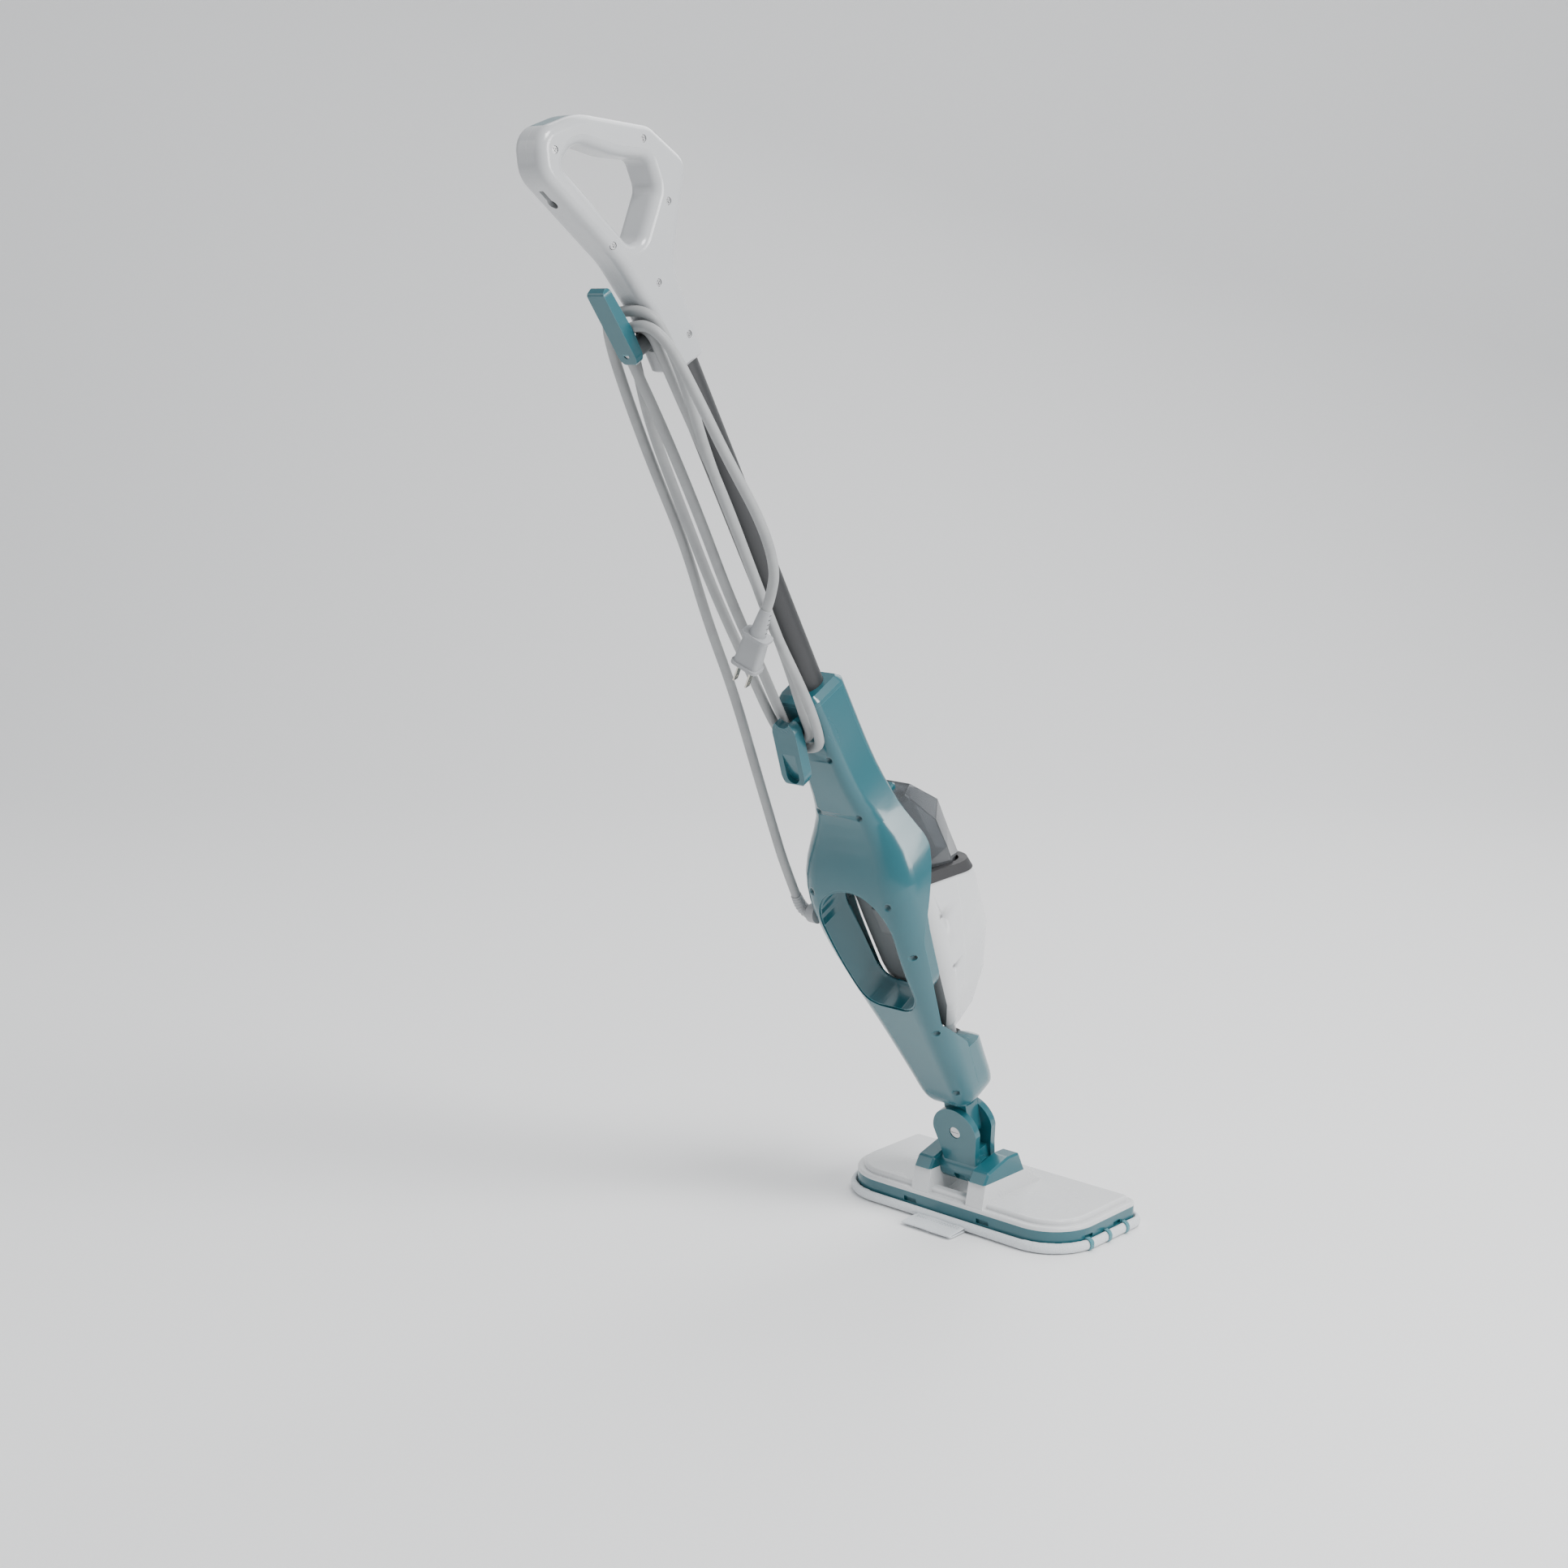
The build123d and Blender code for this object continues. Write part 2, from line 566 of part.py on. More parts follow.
# Shoulder cap round the pole at the top of the body.
with BuildPart() as shoulder_cap:
    with BuildSketch(Plane.XY.offset(NECK_TOP - 8.9)):
        with Locations((0, (BODY_FRONT + 24.0) / 2)):
            RectangleRounded(48.0, 24.0 - BODY_FRONT, 9.0)
    extrude(amount=9.0)
    chamfer(shoulder_cap.faces().sort_by(Axis.Z)[-1].edges(), 5.0)
    with Locations((0, 0, NECK_TOP - 10)):
        with BuildSketch(Plane.XY.offset(NECK_TOP - 10)):
            Ellipse(POLE_WIDTH / 2 + PLAY, POLE_DEPTH / 2 + PLAY)
        extrude(amount=20, mode=Mode.SUBTRACT)

# Screws in the deep holes of the rear shell.
with BuildPart() as shell_screws:
    for x, z in SHELL_SCREWS:
        rear = body_section(z)[1]
        with Locations((x, rear - SCREW_DEPTH, z)):
            Cylinder(2.9, 2.4, rotation=(90, 0, 0))
            Cylinder(1.5, 5.5, rotation=(90, 0, 0), align=(Align.CENTER, Align.CENTER, Align.MIN))
        with Locations((x, rear - SCREW_DEPTH + 1.1, z)):
            Box(4.0, 1.0, 0.9, mode=Mode.SUBTRACT)
            Box(0.9, 1.0, 4.0, mode=Mode.SUBTRACT)

# ==============================================================================
# POLE AND HANDLE, in the pole's frame
# ==============================================================================
with BuildPart() as pole:
    with BuildSketch(Plane.XY.offset(POLE_FOOT)):
        Ellipse(POLE_WIDTH / 2, POLE_DEPTH / 2)
        Ellipse(POLE_WIDTH / 2 - POLE_WALL, POLE_DEPTH / 2 - POLE_WALL, mode=Mode.SUBTRACT)
    extrude(amount=HANDLE_FOOT + 60.0 - POLE_FOOT)

HANDLE_HALF = 16.5         # half the handle's thickness in X
HANDLE_ROUND = 8.5
HANDLE_WALL = 2.5

# Corners of the handle in side view, rear side first, then back down the front.
HANDLE_OUTLINE = (
    (22.0, HANDLE_FOOT),
    (22.0, 950.0),
    (33.0, 1005.0),
    (73.0, 1100.0),
    (60.0, 1132.0),
    (14.0, 1124.0),
    (-50.0, 1082.0),
    (-74.0, 1040.0),
    (-20.0, 976.0),
    (-19.0, HANDLE_FOOT),
)
HANDLE_RADII = [70.0, 80.0, 26.0, 20.0, 60.0, 22.0, 16.0, 34.0]
HAND_HOLE = (
    (12.0, 1004.0),
    (50.0, 1098.0),
    (30.0, 1108.0),
    (-4.0, 1079.0),
    (-33.0, 1062.0),
    (-31.0, 1038.0),
)
HAND_HOLE_RADII = [12.0, 8.0, 20.0, 60.0, 9.0, 12.0]


def loop_outline(inset):
    """The handle's outer outline in side view, drawn in by the inset."""
    with BuildSketch(mode=Mode.PRIVATE) as outline:
        with BuildLine():
            line = FilletPolyline(*HANDLE_OUTLINE, radius=HANDLE_RADII)
            Line(line @ 1, line @ 0)
        make_face()
        if inset:
            offset(amount=-inset)
    return outline.sketch


def hand_hole(grow):
    """The hand hole in side view, made larger all round."""
    with BuildSketch(mode=Mode.PRIVATE) as hole:
        with BuildLine():
            FilletPolyline(*HAND_HOLE, radius=HAND_HOLE_RADII, close=True)
        make_face()
        if grow:
            offset(amount=grow)
    return hole.sketch


def handle_profile(wall):
    """The loop in side view, drawn in by the wall on its outer and inner edges."""
    return loop_outline(wall) - hand_hole(wall)


# The whole loop, rounded all round and hollow inside.
with BuildPart() as handle_body:
    with BuildSketch(Plane.YZ.offset(-HANDLE_HALF)):
        add(handle_profile(0.0))
    extrude(amount=2 * HANDLE_HALF)
    fillet(handle_body.edges().filter_by(
        lambda e: abs(abs(e.center().X) - HANDLE_HALF) < 0.01 and e.center().Z > HANDLE_FOOT + 1
    ), HANDLE_ROUND)
    chamfer(handle_body.faces().sort_by(Axis.Z)[0].edges(), 3.0)
    with BuildSketch(Plane.YZ.offset(-HANDLE_HALF + HANDLE_WALL + 2.0)):
        add(handle_profile(HANDLE_WALL + 1.5))
    extrude(amount=2 * (HANDLE_HALF - HANDLE_WALL - 2.0), mode=Mode.SUBTRACT)

LINER_WIDTH = 8.0
INLAY_DEPTH = 2.4
INLAY_HALF = 8.0


def hole_ring(grow):
    """A block round the hand hole, reaching out by the given width."""
    with BuildPart() as ring:
        with BuildSketch(Plane.YZ.offset(-HANDLE_HALF - 1)):
            add(hand_hole(grow))
        extrude(amount=2 * HANDLE_HALF + 2)
    return ring.part


def inlay_block(play):
    """The strip let into the outer face of the grip, from rear corner to front."""
    with BuildPart() as strip:
        with BuildSketch(Plane.YZ.offset(-INLAY_HALF - play)):
            with BuildLine():
                Polyline(
                    (46.0 + play, 1140.0),
                    (-90.0, 1140.0),
                    (-90.0, 1046.0 - play),
                    (-60.0, 1046.0 - play),
                    (46.0 + play, 1100.0),
                    close=True,
                )
            make_face()
            add(loop_outline(INLAY_DEPTH + play), mode=Mode.SUBTRACT)
        extrude(amount=2 * (INLAY_HALF + play))
    return strip.part


HANDLE_SCREWS = (
    (52.0, 1112.0),
    (-36.0, 1078.0),
    (-37.0, 1024.0),
    (33.5, 1022.0),
    (4.0, 974.0),
    (-6.0, 922.0),
)
KEYHOLE_Z = 1072.0
HOOK_Z = 934.0
HOOK_POST_RADIUS = 8.0


def handle_half(side):
    """One half of the loop, parted down the middle, with bores, seat and slot."""
    with BuildPart() as half:
        add(handle_body.part)
        add(hole_ring(LINER_WIDTH + 0.1), mode=Mode.SUBTRACT)
        add(inlay_block(0.1), mode=Mode.SUBTRACT)
        add(pole_bore(HANDLE_FOOT - 1, 0.1, 61.5), mode=Mode.SUBTRACT)
        with Locations((side * 100.0 + side * 0.05, 0, 1000.0)):
            Box(200.0, 400.0, 400.0, mode=Mode.INTERSECT)
        if side < 0:
            with Locations(*[(-HANDLE_HALF, y, z) for y, z in HANDLE_SCREWS]):
                Cylinder(3.2, 6.8, rotation=(0, 90, 0), mode=Mode.SUBTRACT)
        with Locations((0, 60.0, KEYHOLE_Z)):
            Cylinder(4.5, 20.0, rotation=(90, 0, 0), mode=Mode.SUBTRACT)
        with Locations((0, 64.0, KEYHOLE_Z + 8.0)):
            Box(5.0, 20.0, 12.0, mode=Mode.SUBTRACT)
        with Locations((0, 22.0, HOOK_Z)):
            Cylinder(HOOK_POST_RADIUS, 14.0, rotation=(90, 0, 0), mode=Mode.SUBTRACT)
    return half.part


with BuildPart() as grip_liner:
    add(handle_body.part)
    add(hole_ring(LINER_WIDTH), mode=Mode.INTERSECT)

with BuildPart() as grip_inlay:
    add(handle_body.part)
    add(inlay_block(0.0), mode=Mode.INTERSECT)

with BuildPart() as handle_screws:
    for y, z in HANDLE_SCREWS:
        with Locations((-HANDLE_HALF + 2.1, y, z)):
            Cylinder(2.9, 2.4, rotation=(0, 90, 0))
        with Locations((-HANDLE_HALF + 1.0, y, z)):
            Box(1.0, 4.0, 0.9, mode=Mode.SUBTRACT)
            Box(1.0, 0.9, 4.0, mode=Mode.SUBTRACT)

# Upper cord hook: a fixed post and a paddle that turns on it to drop the cord.
HOOK_HUB = (42.0, 50.0)    # y from, to
HOOK_HALF = 10.0
HOOK_PIN_RADIUS = 3.0
with BuildPart() as hook_post:
    with Locations((0, 16.0, HOOK_Z)):
        Cylinder(HOOK_POST_RADIUS, HOOK_HUB[0] - PLAY - 16.0, rotation=(-90, 0, 0),
                 align=(Align.CENTER, Align.CENTER, Align.MIN))
    with Locations((0, 22.1, HOOK_Z)):
        Cylinder(12.0, 1.5, rotation=(-90, 0, 0), align=(Align.CENTER, Align.CENTER, Align.MIN))
    with Locations((0, 30.0, HOOK_Z)):
        Cylinder(HOOK_PIN_RADIUS, 40.0, rotation=(90, 0, 0), mode=Mode.SUBTRACT)

with BuildPart() as upper_hook:
    with BuildSketch(Plane.YZ.offset(-HOOK_HALF)):
        with BuildLine():
            FilletPolyline(
                (HOOK_HUB[0], HOOK_Z - 10.0),
                (HOOK_HUB[1], HOOK_Z - 10.0),
                (HOOK_HUB[1] + 2.0, HOOK_Z + 10.0),
                (57.0, HOOK_Z + 58.0),
                (49.0, HOOK_Z + 62.0),
                (HOOK_HUB[0], HOOK_Z + 18.0),
                radius=[2.5, 3.0, 24.0, 3.0, 3.0, 10.0],
                close=True,
            )
        make_face()
    extrude(amount=2 * HOOK_HALF)
    with BuildSketch(Plane.XZ.offset(-30.0)):
        with Locations((0, HOOK_Z + 27.0)):
            SlotCenterToCenter(56.0, 2 * HOOK_HALF - 0.4, rotation=90)
    extrude(amount=-60.0, mode=Mode.INTERSECT)
    with Locations((0, HOOK_HUB[0] + 2.0, HOOK_Z)):
        Cylinder(HOOK_PIN_RADIUS + 0.05, 14.0, rotation=(90, 0, 0), mode=Mode.SUBTRACT)

with BuildPart() as hook_pin:
    with Locations((0, HOOK_HUB[0] - 14.0, HOOK_Z)):
        Cylinder(HOOK_PIN_RADIUS, 22.0, rotation=(-90, 0, 0),
                 align=(Align.CENTER, Align.CENTER, Align.MIN))

# Lower cord hook: a scoop that points down, with two ears at its top.
LOWER_HOOK_Z = 548.0
LOWER_HOOK_HALF = 14.0
with BuildPart() as lower_hook:
    with BuildSketch(Plane.YZ.offset(-LOWER_HOOK_HALF)):
        with BuildLine():
            FilletPolyline(
                (38.0, LOWER_HOOK_Z + 14.0),
                (46.0, LOWER_HOOK_Z + 16.0),
                (50.0, LOWER_HOOK_Z - 4.0),
                (59.0, LOWER_HOOK_Z - 46.0),
                (49.0, LOWER_HOOK_Z - 48.0),
                (40.0, LOWER_HOOK_Z - 8.0),
                radius=[2.0, 2.0, 12.0, 3.5, 3.5, 12.0],
                close=True,
            )
        make_face()
    extrude(amount=2 * LOWER_HOOK_HALF)
    with BuildSketch(Plane.XZ.offset(-30.0)):
        with Locations((0, LOWER_HOOK_Z - 16.0)):
            SlotCenterToCenter(38.0, 2 * LOWER_HOOK_HALF - 0.4, rotation=90)
    extrude(amount=-60.0, mode=Mode.INTERSECT)
    with Locations((0, 50.0, LOWER_HOOK_Z + 20.0)):
        Cylinder(10.0, 60.0, rotation=(90, 0, 0), mode=Mode.SUBTRACT)
    with BuildSketch(Plane.XZ.offset(-52.5)):
        with Locations((0, LOWER_HOOK_Z - 24.0)):
            SlotCenterToCenter(24.0, 15.0, rotation=90)
    extrude(amount=-30.0, mode=Mode.SUBTRACT)
    with Locations((0, body_section(LOWER_HOOK_Z)[1] + 0.1, LOWER_HOOK_Z)):
        Cylinder(7.0, 18.0, rotation=(-90, 0, 0), align=(Align.CENTER, Align.CENTER, Align.MIN))

# ==============================================================================
# HAND STEAMER, in the pole's frame: docked in front of the body
# ==============================================================================
# Each section: height, half width, front surface, back surface, corner radius.
STEAMER_SECTIONS = (
    (158.0, 12.0, -18.0, 8.0, 8.0),
    (172.0, 22.0, -36.0, 14.0, 12.0),
    (203.0, 34.0, -58.0, 18.0, 18.0),
    (246.0, 43.0, -77.0, 19.0, 24.0),
    (300.0, 46.0, -84.0, 19.0, 28.0),
    (362.0, 44.0, -73.0, 19.0, 27.0),
)
STEAMER_WALL = 2.2
SEAM_FOOT = (-8.0, 190.0)      # side seam between the white mouldings, y and z
SEAM_HEAD = (-50.0, 345.0)
BACK_PART = 12.0               # the grey back begins here
RING_TILT = 26.0               # the ring's plane falls towards the front
RING_Y = -45.0
RING_Z = 324.0
RING_THICKNESS = 11.0


def steamer_volume(inset):
    """Loft of the steamer's sections, made smaller all round by the inset."""
    with BuildPart() as volume:
        for height, half, front, back, corner in STEAMER_SECTIONS:
            depth = back - front - 2 * inset
            with BuildSketch(Plane.XY.offset(height)):
                with Locations((0, (front + back) / 2)):
                    RectangleRounded(2 * (half - inset), depth, corner - inset)
        loft(ruled=True)
    return volume.part


# The window's surround lines the opening from just below the shell's surface down to
# the steamer's back, with a flange round the clear opening.
with BuildPart() as window_surround:
    with BuildSketch(Plane.XZ):
        add(window_sketch(LIP_WIDTH - 0.1))
        add(window_sketch(LIP_WIDTH - 2.6), mode=Mode.SUBTRACT)
    extrude(amount=-80.0)
    with BuildSketch(Plane.XZ.offset(-22.0)):
        add(window_sketch(LIP_WIDTH - 0.1))
        add(window_sketch(0.0), mode=Mode.SUBTRACT)
    extrude(amount=-3.0)
    add(body_volume(1.2, -60.0), mode=Mode.INTERSECT)
    add(steamer_volume(-2.2), mode=Mode.SUBTRACT)


def above_ring(shift):
    """Everything above a plane parallel to the ring, raised by the shift."""
    plane = Plane(
        origin=(0, RING_Y, RING_Z),
        x_dir=(1, 0, 0),
        z_dir=(0, -sin(radians(RING_TILT)), cos(radians(RING_TILT))),
    )
    with BuildPart() as block:
        with BuildSketch(plane.offset(shift)):
            Rectangle(400, 400)
        extrude(amount=300)
    return block.part


def zone(points):
    """A prism across X over a polygon in side view."""
    with BuildPart() as prism:
        with BuildSketch(Plane.YZ.offset(-100)):
            with BuildLine():
                Polyline(*points, close=True)
            make_face()
        extrude(amount=200)
    return prism.part


with BuildPart() as steamer_hollow:
    add(steamer_volume(STEAMER_WALL))
    with Locations((0, 0, STEAMER_SECTIONS[0][0] + STEAMER_WALL)):
        Box(400, 400, 400, align=(Align.CENTER, Align.CENTER, Align.MIN), mode=Mode.INTERSECT)

STEAMER_SKIN = steamer_volume(0.0) - steamer_hollow.part - above_ring(0.0)
FRONT_ZONE = zone((SEAM_FOOT, SEAM_HEAD, (-50.0, 400.0), (-120.0, 400.0), (-120.0, 100.0),
                   (SEAM_FOOT[0], 100.0)))
BACK_ZONE = zone(((BACK_PART, 100.0), (BACK_PART, 400.0), (60.0, 400.0), (60.0, 100.0)))
STEAMER_BACK = STEAMER_SECTIONS[-1][3]
PIPE_RADIUS = 3.0

with BuildPart() as steamer_front:
    add(STEAMER_SKIN)
    add(FRONT_ZONE, mode=Mode.INTERSECT)
    with Locations((0, DOCK_PORT_Y, 150.0)):
        Cylinder(PIPE_RADIUS, 30.0, mode=Mode.SUBTRACT)

# Steam trigger, pressed by a finger through the window.
TRIGGER_Z = 312.0
TRIGGER_TRAVEL = 3.5
with BuildPart() as steam_trigger:
    with Locations((0, STEAMER_BACK - TRIGGER_TRAVEL - 0.5, TRIGGER_Z)):
        Box(16.0, 9.0, 30.0, align=(Align.CENTER, Align.MIN, Align.CENTER))
        fillet(steam_trigger.faces().sort_by(Axis.Y)[-1].edges(), 2.5)

with BuildPart() as steamer_back:
    add(STEAMER_SKIN)
    add(BACK_ZONE, mode=Mode.INTERSECT)
    with Locations((0, STEAMER_BACK, TRIGGER_Z)):
        Box(16.6, 12.0, 30.6, mode=Mode.SUBTRACT)

# Side screws: y, z and the half width of the casing there.
STEAMER_SCREWS = ((-8.0, 302.0, 46.0), (-4.0, 243.0, 42.4))
with BuildPart() as steamer_middle:
    add(STEAMER_SKIN)
    add(FRONT_ZONE, mode=Mode.SUBTRACT)
    add(BACK_ZONE, mode=Mode.SUBTRACT)
    for side in (-1, 1):
        for y, z, half in STEAMER_SCREWS:
            with Locations((side * (half - 6.0), y, z)):
                Cylinder(4.2, 10.0, rotation=(0, 90, 0))
            with Locations((side * (half + 3.5), y, z)):
                Cylinder(3.0, 17.0, rotation=(0, 90, 0), mode=Mode.SUBTRACT)
    with Locations((0, DOCK_PORT_Y, 150.0)):
        Cylinder(PIPE_RADIUS, 30.0, mode=Mode.SUBTRACT)

with BuildPart() as steamer_screws:
    for side in (-1, 1):
        for y, z, half in STEAMER_SCREWS:
            with Locations((side * (half - 3.7), y, z)):
                Cylinder(2.8, 2.4, rotation=(0, 90, 0))

# Black ring between the white casing and the tank, with a floor inside it.
with BuildPart() as tank_ring:
    add(steamer_volume(-1.5))
    add(steamer_volume(6.0), mode=Mode.SUBTRACT)
    add(above_ring(0.1), mode=Mode.INTERSECT)
    add(above_ring(RING_THICKNESS), mode=Mode.SUBTRACT)

with BuildPart() as ring_floor:
    add(steamer_volume(6.0))
    add(above_ring(4.0), mode=Mode.INTERSECT)
    add(above_ring(7.0), mode=Mode.SUBTRACT)

# Smoky tank: a faceted hood above the ring. Each row: height, then half width and
# y of the back, middle and front corners.
TANK_FACETS = (
    (290.0, (36.0, -12.0), (41.0, -50.0), (22.0, -80.0)),
    (352.0, (35.0, -13.0), (40.0, -52.0), (20.0, -80.0)),
    (380.0, (32.0, -26.5), (34.0, -56.0), (16.0, -84.0)),
    (422.0, (22.0, -27.5), (24.0, -40.0), (20.0, -54.0)),
)
TANK_WALL = 2.2


def tank_volume(inset):
    """Flat-faced hood through the corner rows, made smaller by the inset."""
    with BuildPart() as volume:
        for height, back, middle, front in TANK_FACETS:
            top_drop = inset if height == TANK_FACETS[-1][0] else 0.0
            with BuildSketch(Plane.XY.offset(height - top_drop)):
                with BuildLine():
                    Polyline(
                        (-back[0], back[1]),
                        (-middle[0], middle[1]),
                        (-front[0], front[1]),
                        front,
                        middle,
                        back,
                        close=True,
                    )
                make_face()
                if inset:
                    offset(amount=-inset, kind=Kind.INTERSECTION)
        loft(ruled=True)
    return volume.part


with BuildPart() as tank_hollow:
    add(tank_volume(TANK_WALL))
    add(above_ring(RING_THICKNESS + TANK_WALL), mode=Mode.INTERSECT)

with BuildPart() as water_tank:
    add(tank_volume(0.0))
    add(above_ring(RING_THICKNESS + 0.1), mode=Mode.INTERSECT)
    add(tank_hollow.part, mode=Mode.SUBTRACT)

# Pale filler tube standing inside the tank on its floor.
with BuildPart() as filler_tube:
    with Locations((0, -52.0, 325.0)):
        Cone(17.0, 11.0, 78.0, align=(Align.CENTER, Align.CENTER, Align.MIN))
        Cylinder(8.0, 90.0, align=(Align.CENTER, Align.CENTER, Align.MIN), mode=Mode.SUBTRACT)
    add(above_ring(RING_THICKNESS + TANK_WALL + 0.1), mode=Mode.INTERSECT)

# Teal catch on top of the tank.
with BuildPart() as tank_latch:
    with Locations((0, -39.0, TANK_FACETS[-1][0] + 0.1)):
        Box(18.0, 18.0, 5.0, align=(Align.CENTER, Align.CENTER, Align.MIN))
        fillet(tank_latch.edges().filter_by(Axis.Z), 4.0)
        chamfer(tank_latch.faces().sort_by(Axis.Z)[-1].edges(), 1.5)

# Nozzle at the steamer's foot, standing on the seal in the dock.
with BuildPart() as steamer_nozzle:
    with Locations((0, DOCK_PORT_Y, 141.0)):
        Cone(6.0, 9.0, 17.0, align=(Align.CENTER, Align.CENTER, Align.MIN))
        Cylinder(2.0, 20.0, align=(Align.CENTER, Align.CENTER, Align.MIN), mode=Mode.SUBTRACT)

with BuildPart() as dock_seal:
    with Locations((0, DOCK_PORT_Y, DOCK_TOP - 20.0)):
        Cylinder(10.9, 12.9, align=(Align.CENTER, Align.CENTER, Align.MIN))
        Cylinder(3.6, 14.0, align=(Align.CENTER, Align.CENTER, Align.MIN), mode=Mode.SUBTRACT)

# Inside the steamer: boiler, pump, circuit board and the pipe down to the nozzle.
with BuildPart() as boiler:
    with Locations((0, -26.0, 232.0)):
        Cylinder(22.0, 54.0)
        fillet(boiler.edges(), 4.0)

with BuildPart() as pump:
    with Locations((0, -40.0, 286.0)):
        Box(34.0, 34.0, 30.0)
        fillet(pump.edges().filter_by(Axis.X), 5.0)
    with Locations((0, -40.0, 259.1)):
        Cylinder(5.0, 14.0, align=(Align.CENTER, Align.CENTER, Align.MIN))

with BuildPart() as circuit_board:
    with Locations((0, 7.0, 244.0)):
        Box(46.0, 1.6, 62.0)

with BuildPart() as steam_pipe:
    with Locations((0, DOCK_PORT_Y, 158.1)):
        Cylinder(PIPE_RADIUS, 47.0, align=(Align.CENTER, Align.CENTER, Align.MIN))
        Cylinder(2.0, 47.0, align=(Align.CENTER, Align.CENTER, Align.MIN), mode=Mode.SUBTRACT)
    with Locations((0, -26.0, 232.0)):
        Cylinder(22.0, 54.0, mode=Mode.SUBTRACT)

# ==============================================================================
# POWER CORD, in the pole's frame: out of the left side, wound on the two hooks
# ==============================================================================
CORD_DIAMETER = 9.0
CORD_RADIUS = CORD_DIAMETER / 2
GLAND = (58.5, 44.0, 326.0)    # where the gland meets the body
EXIT = (79.0, 44.0, 345.0)     # free end of the strain relief

with BuildPart() as cord_gland:
    with Locations(GLAND):
        Cylinder(9.5, 10.0, rotation=(0, 90, 0), align=(Align.CENTER, Align.CENTER, Align.MIN))
        fillet(cord_gland.faces().sort_by(Axis.X)[-1].edges(), 2.0)
    add(BODY_OUTER, mode=Mode.SUBTRACT)
GLAND_FACE = cord_gland.part.bounding_box().max.X

# The route, bottom to top and back, three turns round the upper post.
CORD_ROUTE = (
    EXIT,
    (78.5, 43.0, 384.0),
    (74.0, 42.0, 425.0),
    (70.0, 37.0, 492.0),
    (57.0, 36.0, 585.0),
    (54.0, 35.0, 660.0),
    (42.0, 35.0, 742.0),
    (43.0, 34.0, 820.0),
    (40.0, 33.5, 885.0),
    (34.0, 33.5, 936.0),
    (24.0, 33.0, 963.0),
    (-23.0, 28.3, 963.5),
    (-28.5, 28.0, 932.0),
    (-29.0, 29.0, 890.0),
    (-26.0, 34.0, 825.0),
    (-30.0, 37.0, 742.0),
    (-26.0, 37.0, 668.0),
    (-30.0, 34.0, 590.0),
    (-27.0, 32.5, 550.0),
    (-20.0, 32.5, 526.0),
    (19.0, 32.5, 526.0),
    (26.0, 33.0, 552.0),
    (27.0, 34.0, 600.0),
    (30.0, 35.5, 690.0),
    (28.0, 35.0, 775.0),
    (27.0, 33.0, 860.0),
    (16.5, 28.5, 922.0),
    (13.5, 28.2, 947.5),
    (-13.0, 28.2, 947.5),
    (-14.5, 28.0, 920.0),
    (-15.5, 27.5, 880.0),
    (-17.0, 24.5, 790.0),
    (-15.0, 25.0, 700.0),
    (-17.5, 28.0, 620.0),
    (-13.8, 30.3, 562.0),
    (-12.8, 30.5, 535.7),
    (12.8, 30.5, 535.7),
    (13.6, 31.5, 562.0),
    (11.0, 34.0, 610.0),
    (12.5, 36.0, 690.0),
    (10.0, 35.0, 775.0),
    (9.0, 36.5, 860.0),
    (12.2, 37.3, 921.0),
    (13.0, 37.4, 947.5),
    (-22.0, 37.4, 957.0),
    (-40.0, 38.0, 938.0),
    (-47.0, 38.5, 900.0),
    (-56.0, 39.5, 832.0),
    (-68.0, 41.0, 776.0),
    (-67.0, 44.0, 732.0),
    (-52.0, 48.0, 704.0),
    (-46.0, 52.0, 694.0),
)


def corner_radius(before, corner, after):
    """The widest easy arc a corner has room for."""
    run_in = Vector(*corner) - Vector(*before)
    run_out = Vector(*after) - Vector(*corner)
    half_turn = radians(run_in.get_angle(run_out)) / 2
    return 0.45 * min(run_in.length, run_out.length) / tan(half_turn)


CORD_RADII = [corner_radius(*CORD_ROUTE[k - 1:k + 2]) for k in range(1, len(CORD_ROUTE) - 1)]
print("cord radii", [round(radius) for radius in CORD_RADII])

with BuildPart() as power_cord:
    with BuildLine():
        route = FilletPolyline(*CORD_ROUTE, radius=CORD_RADII)
    with BuildSketch(Plane(origin=route @ 0, z_dir=route % 0)):
        Circle(CORD_RADIUS)
    sweep()
CORD_LENGTH = route.length
print("cord length", round(CORD_LENGTH), "volume ratio",
      round(power_cord.part.volume / (CORD_LENGTH * pi * CORD_RADIUS**2), 3))

# Strain relief: bends up from the gland to the cord, tapered and ribbed.
RELIEF_START = (GLAND_FACE, GLAND[1], GLAND[2])
RELIEF_RADII = (7.0, CORD_RADIUS + 0.8)    # at the gland, at the free end
RELIEF_RIBS = 8
with BuildPart() as strain_relief:
    with BuildLine():
        bend = Spline(RELIEF_START, EXIT, tangents=((1, 0, 0), route % 0))
    for step in range(2 * RELIEF_RIBS + 1):
        share = step / (2 * RELIEF_RIBS)
        rib = RELIEF_RADII[0] + share * (RELIEF_RADII[1] - RELIEF_RADII[0]) - 0.6 * (step % 2)
        with BuildSketch(Plane(origin=bend @ share, z_dir=bend % share)):
            Circle(rib)
    loft(ruled=True)

# Plug on the far end: ribbed relief, flat body with two flanges, two blades.
PLUG_START = route @ 1
PLUG_FRAME = Plane(origin=PLUG_START, x_dir=(0.75, 0.0, 0.45), z_dir=route % 1)
PLUG_LENGTH = 34.0
RELIEF_LENGTH = 26.0
BLADE_LENGTH = 18.0

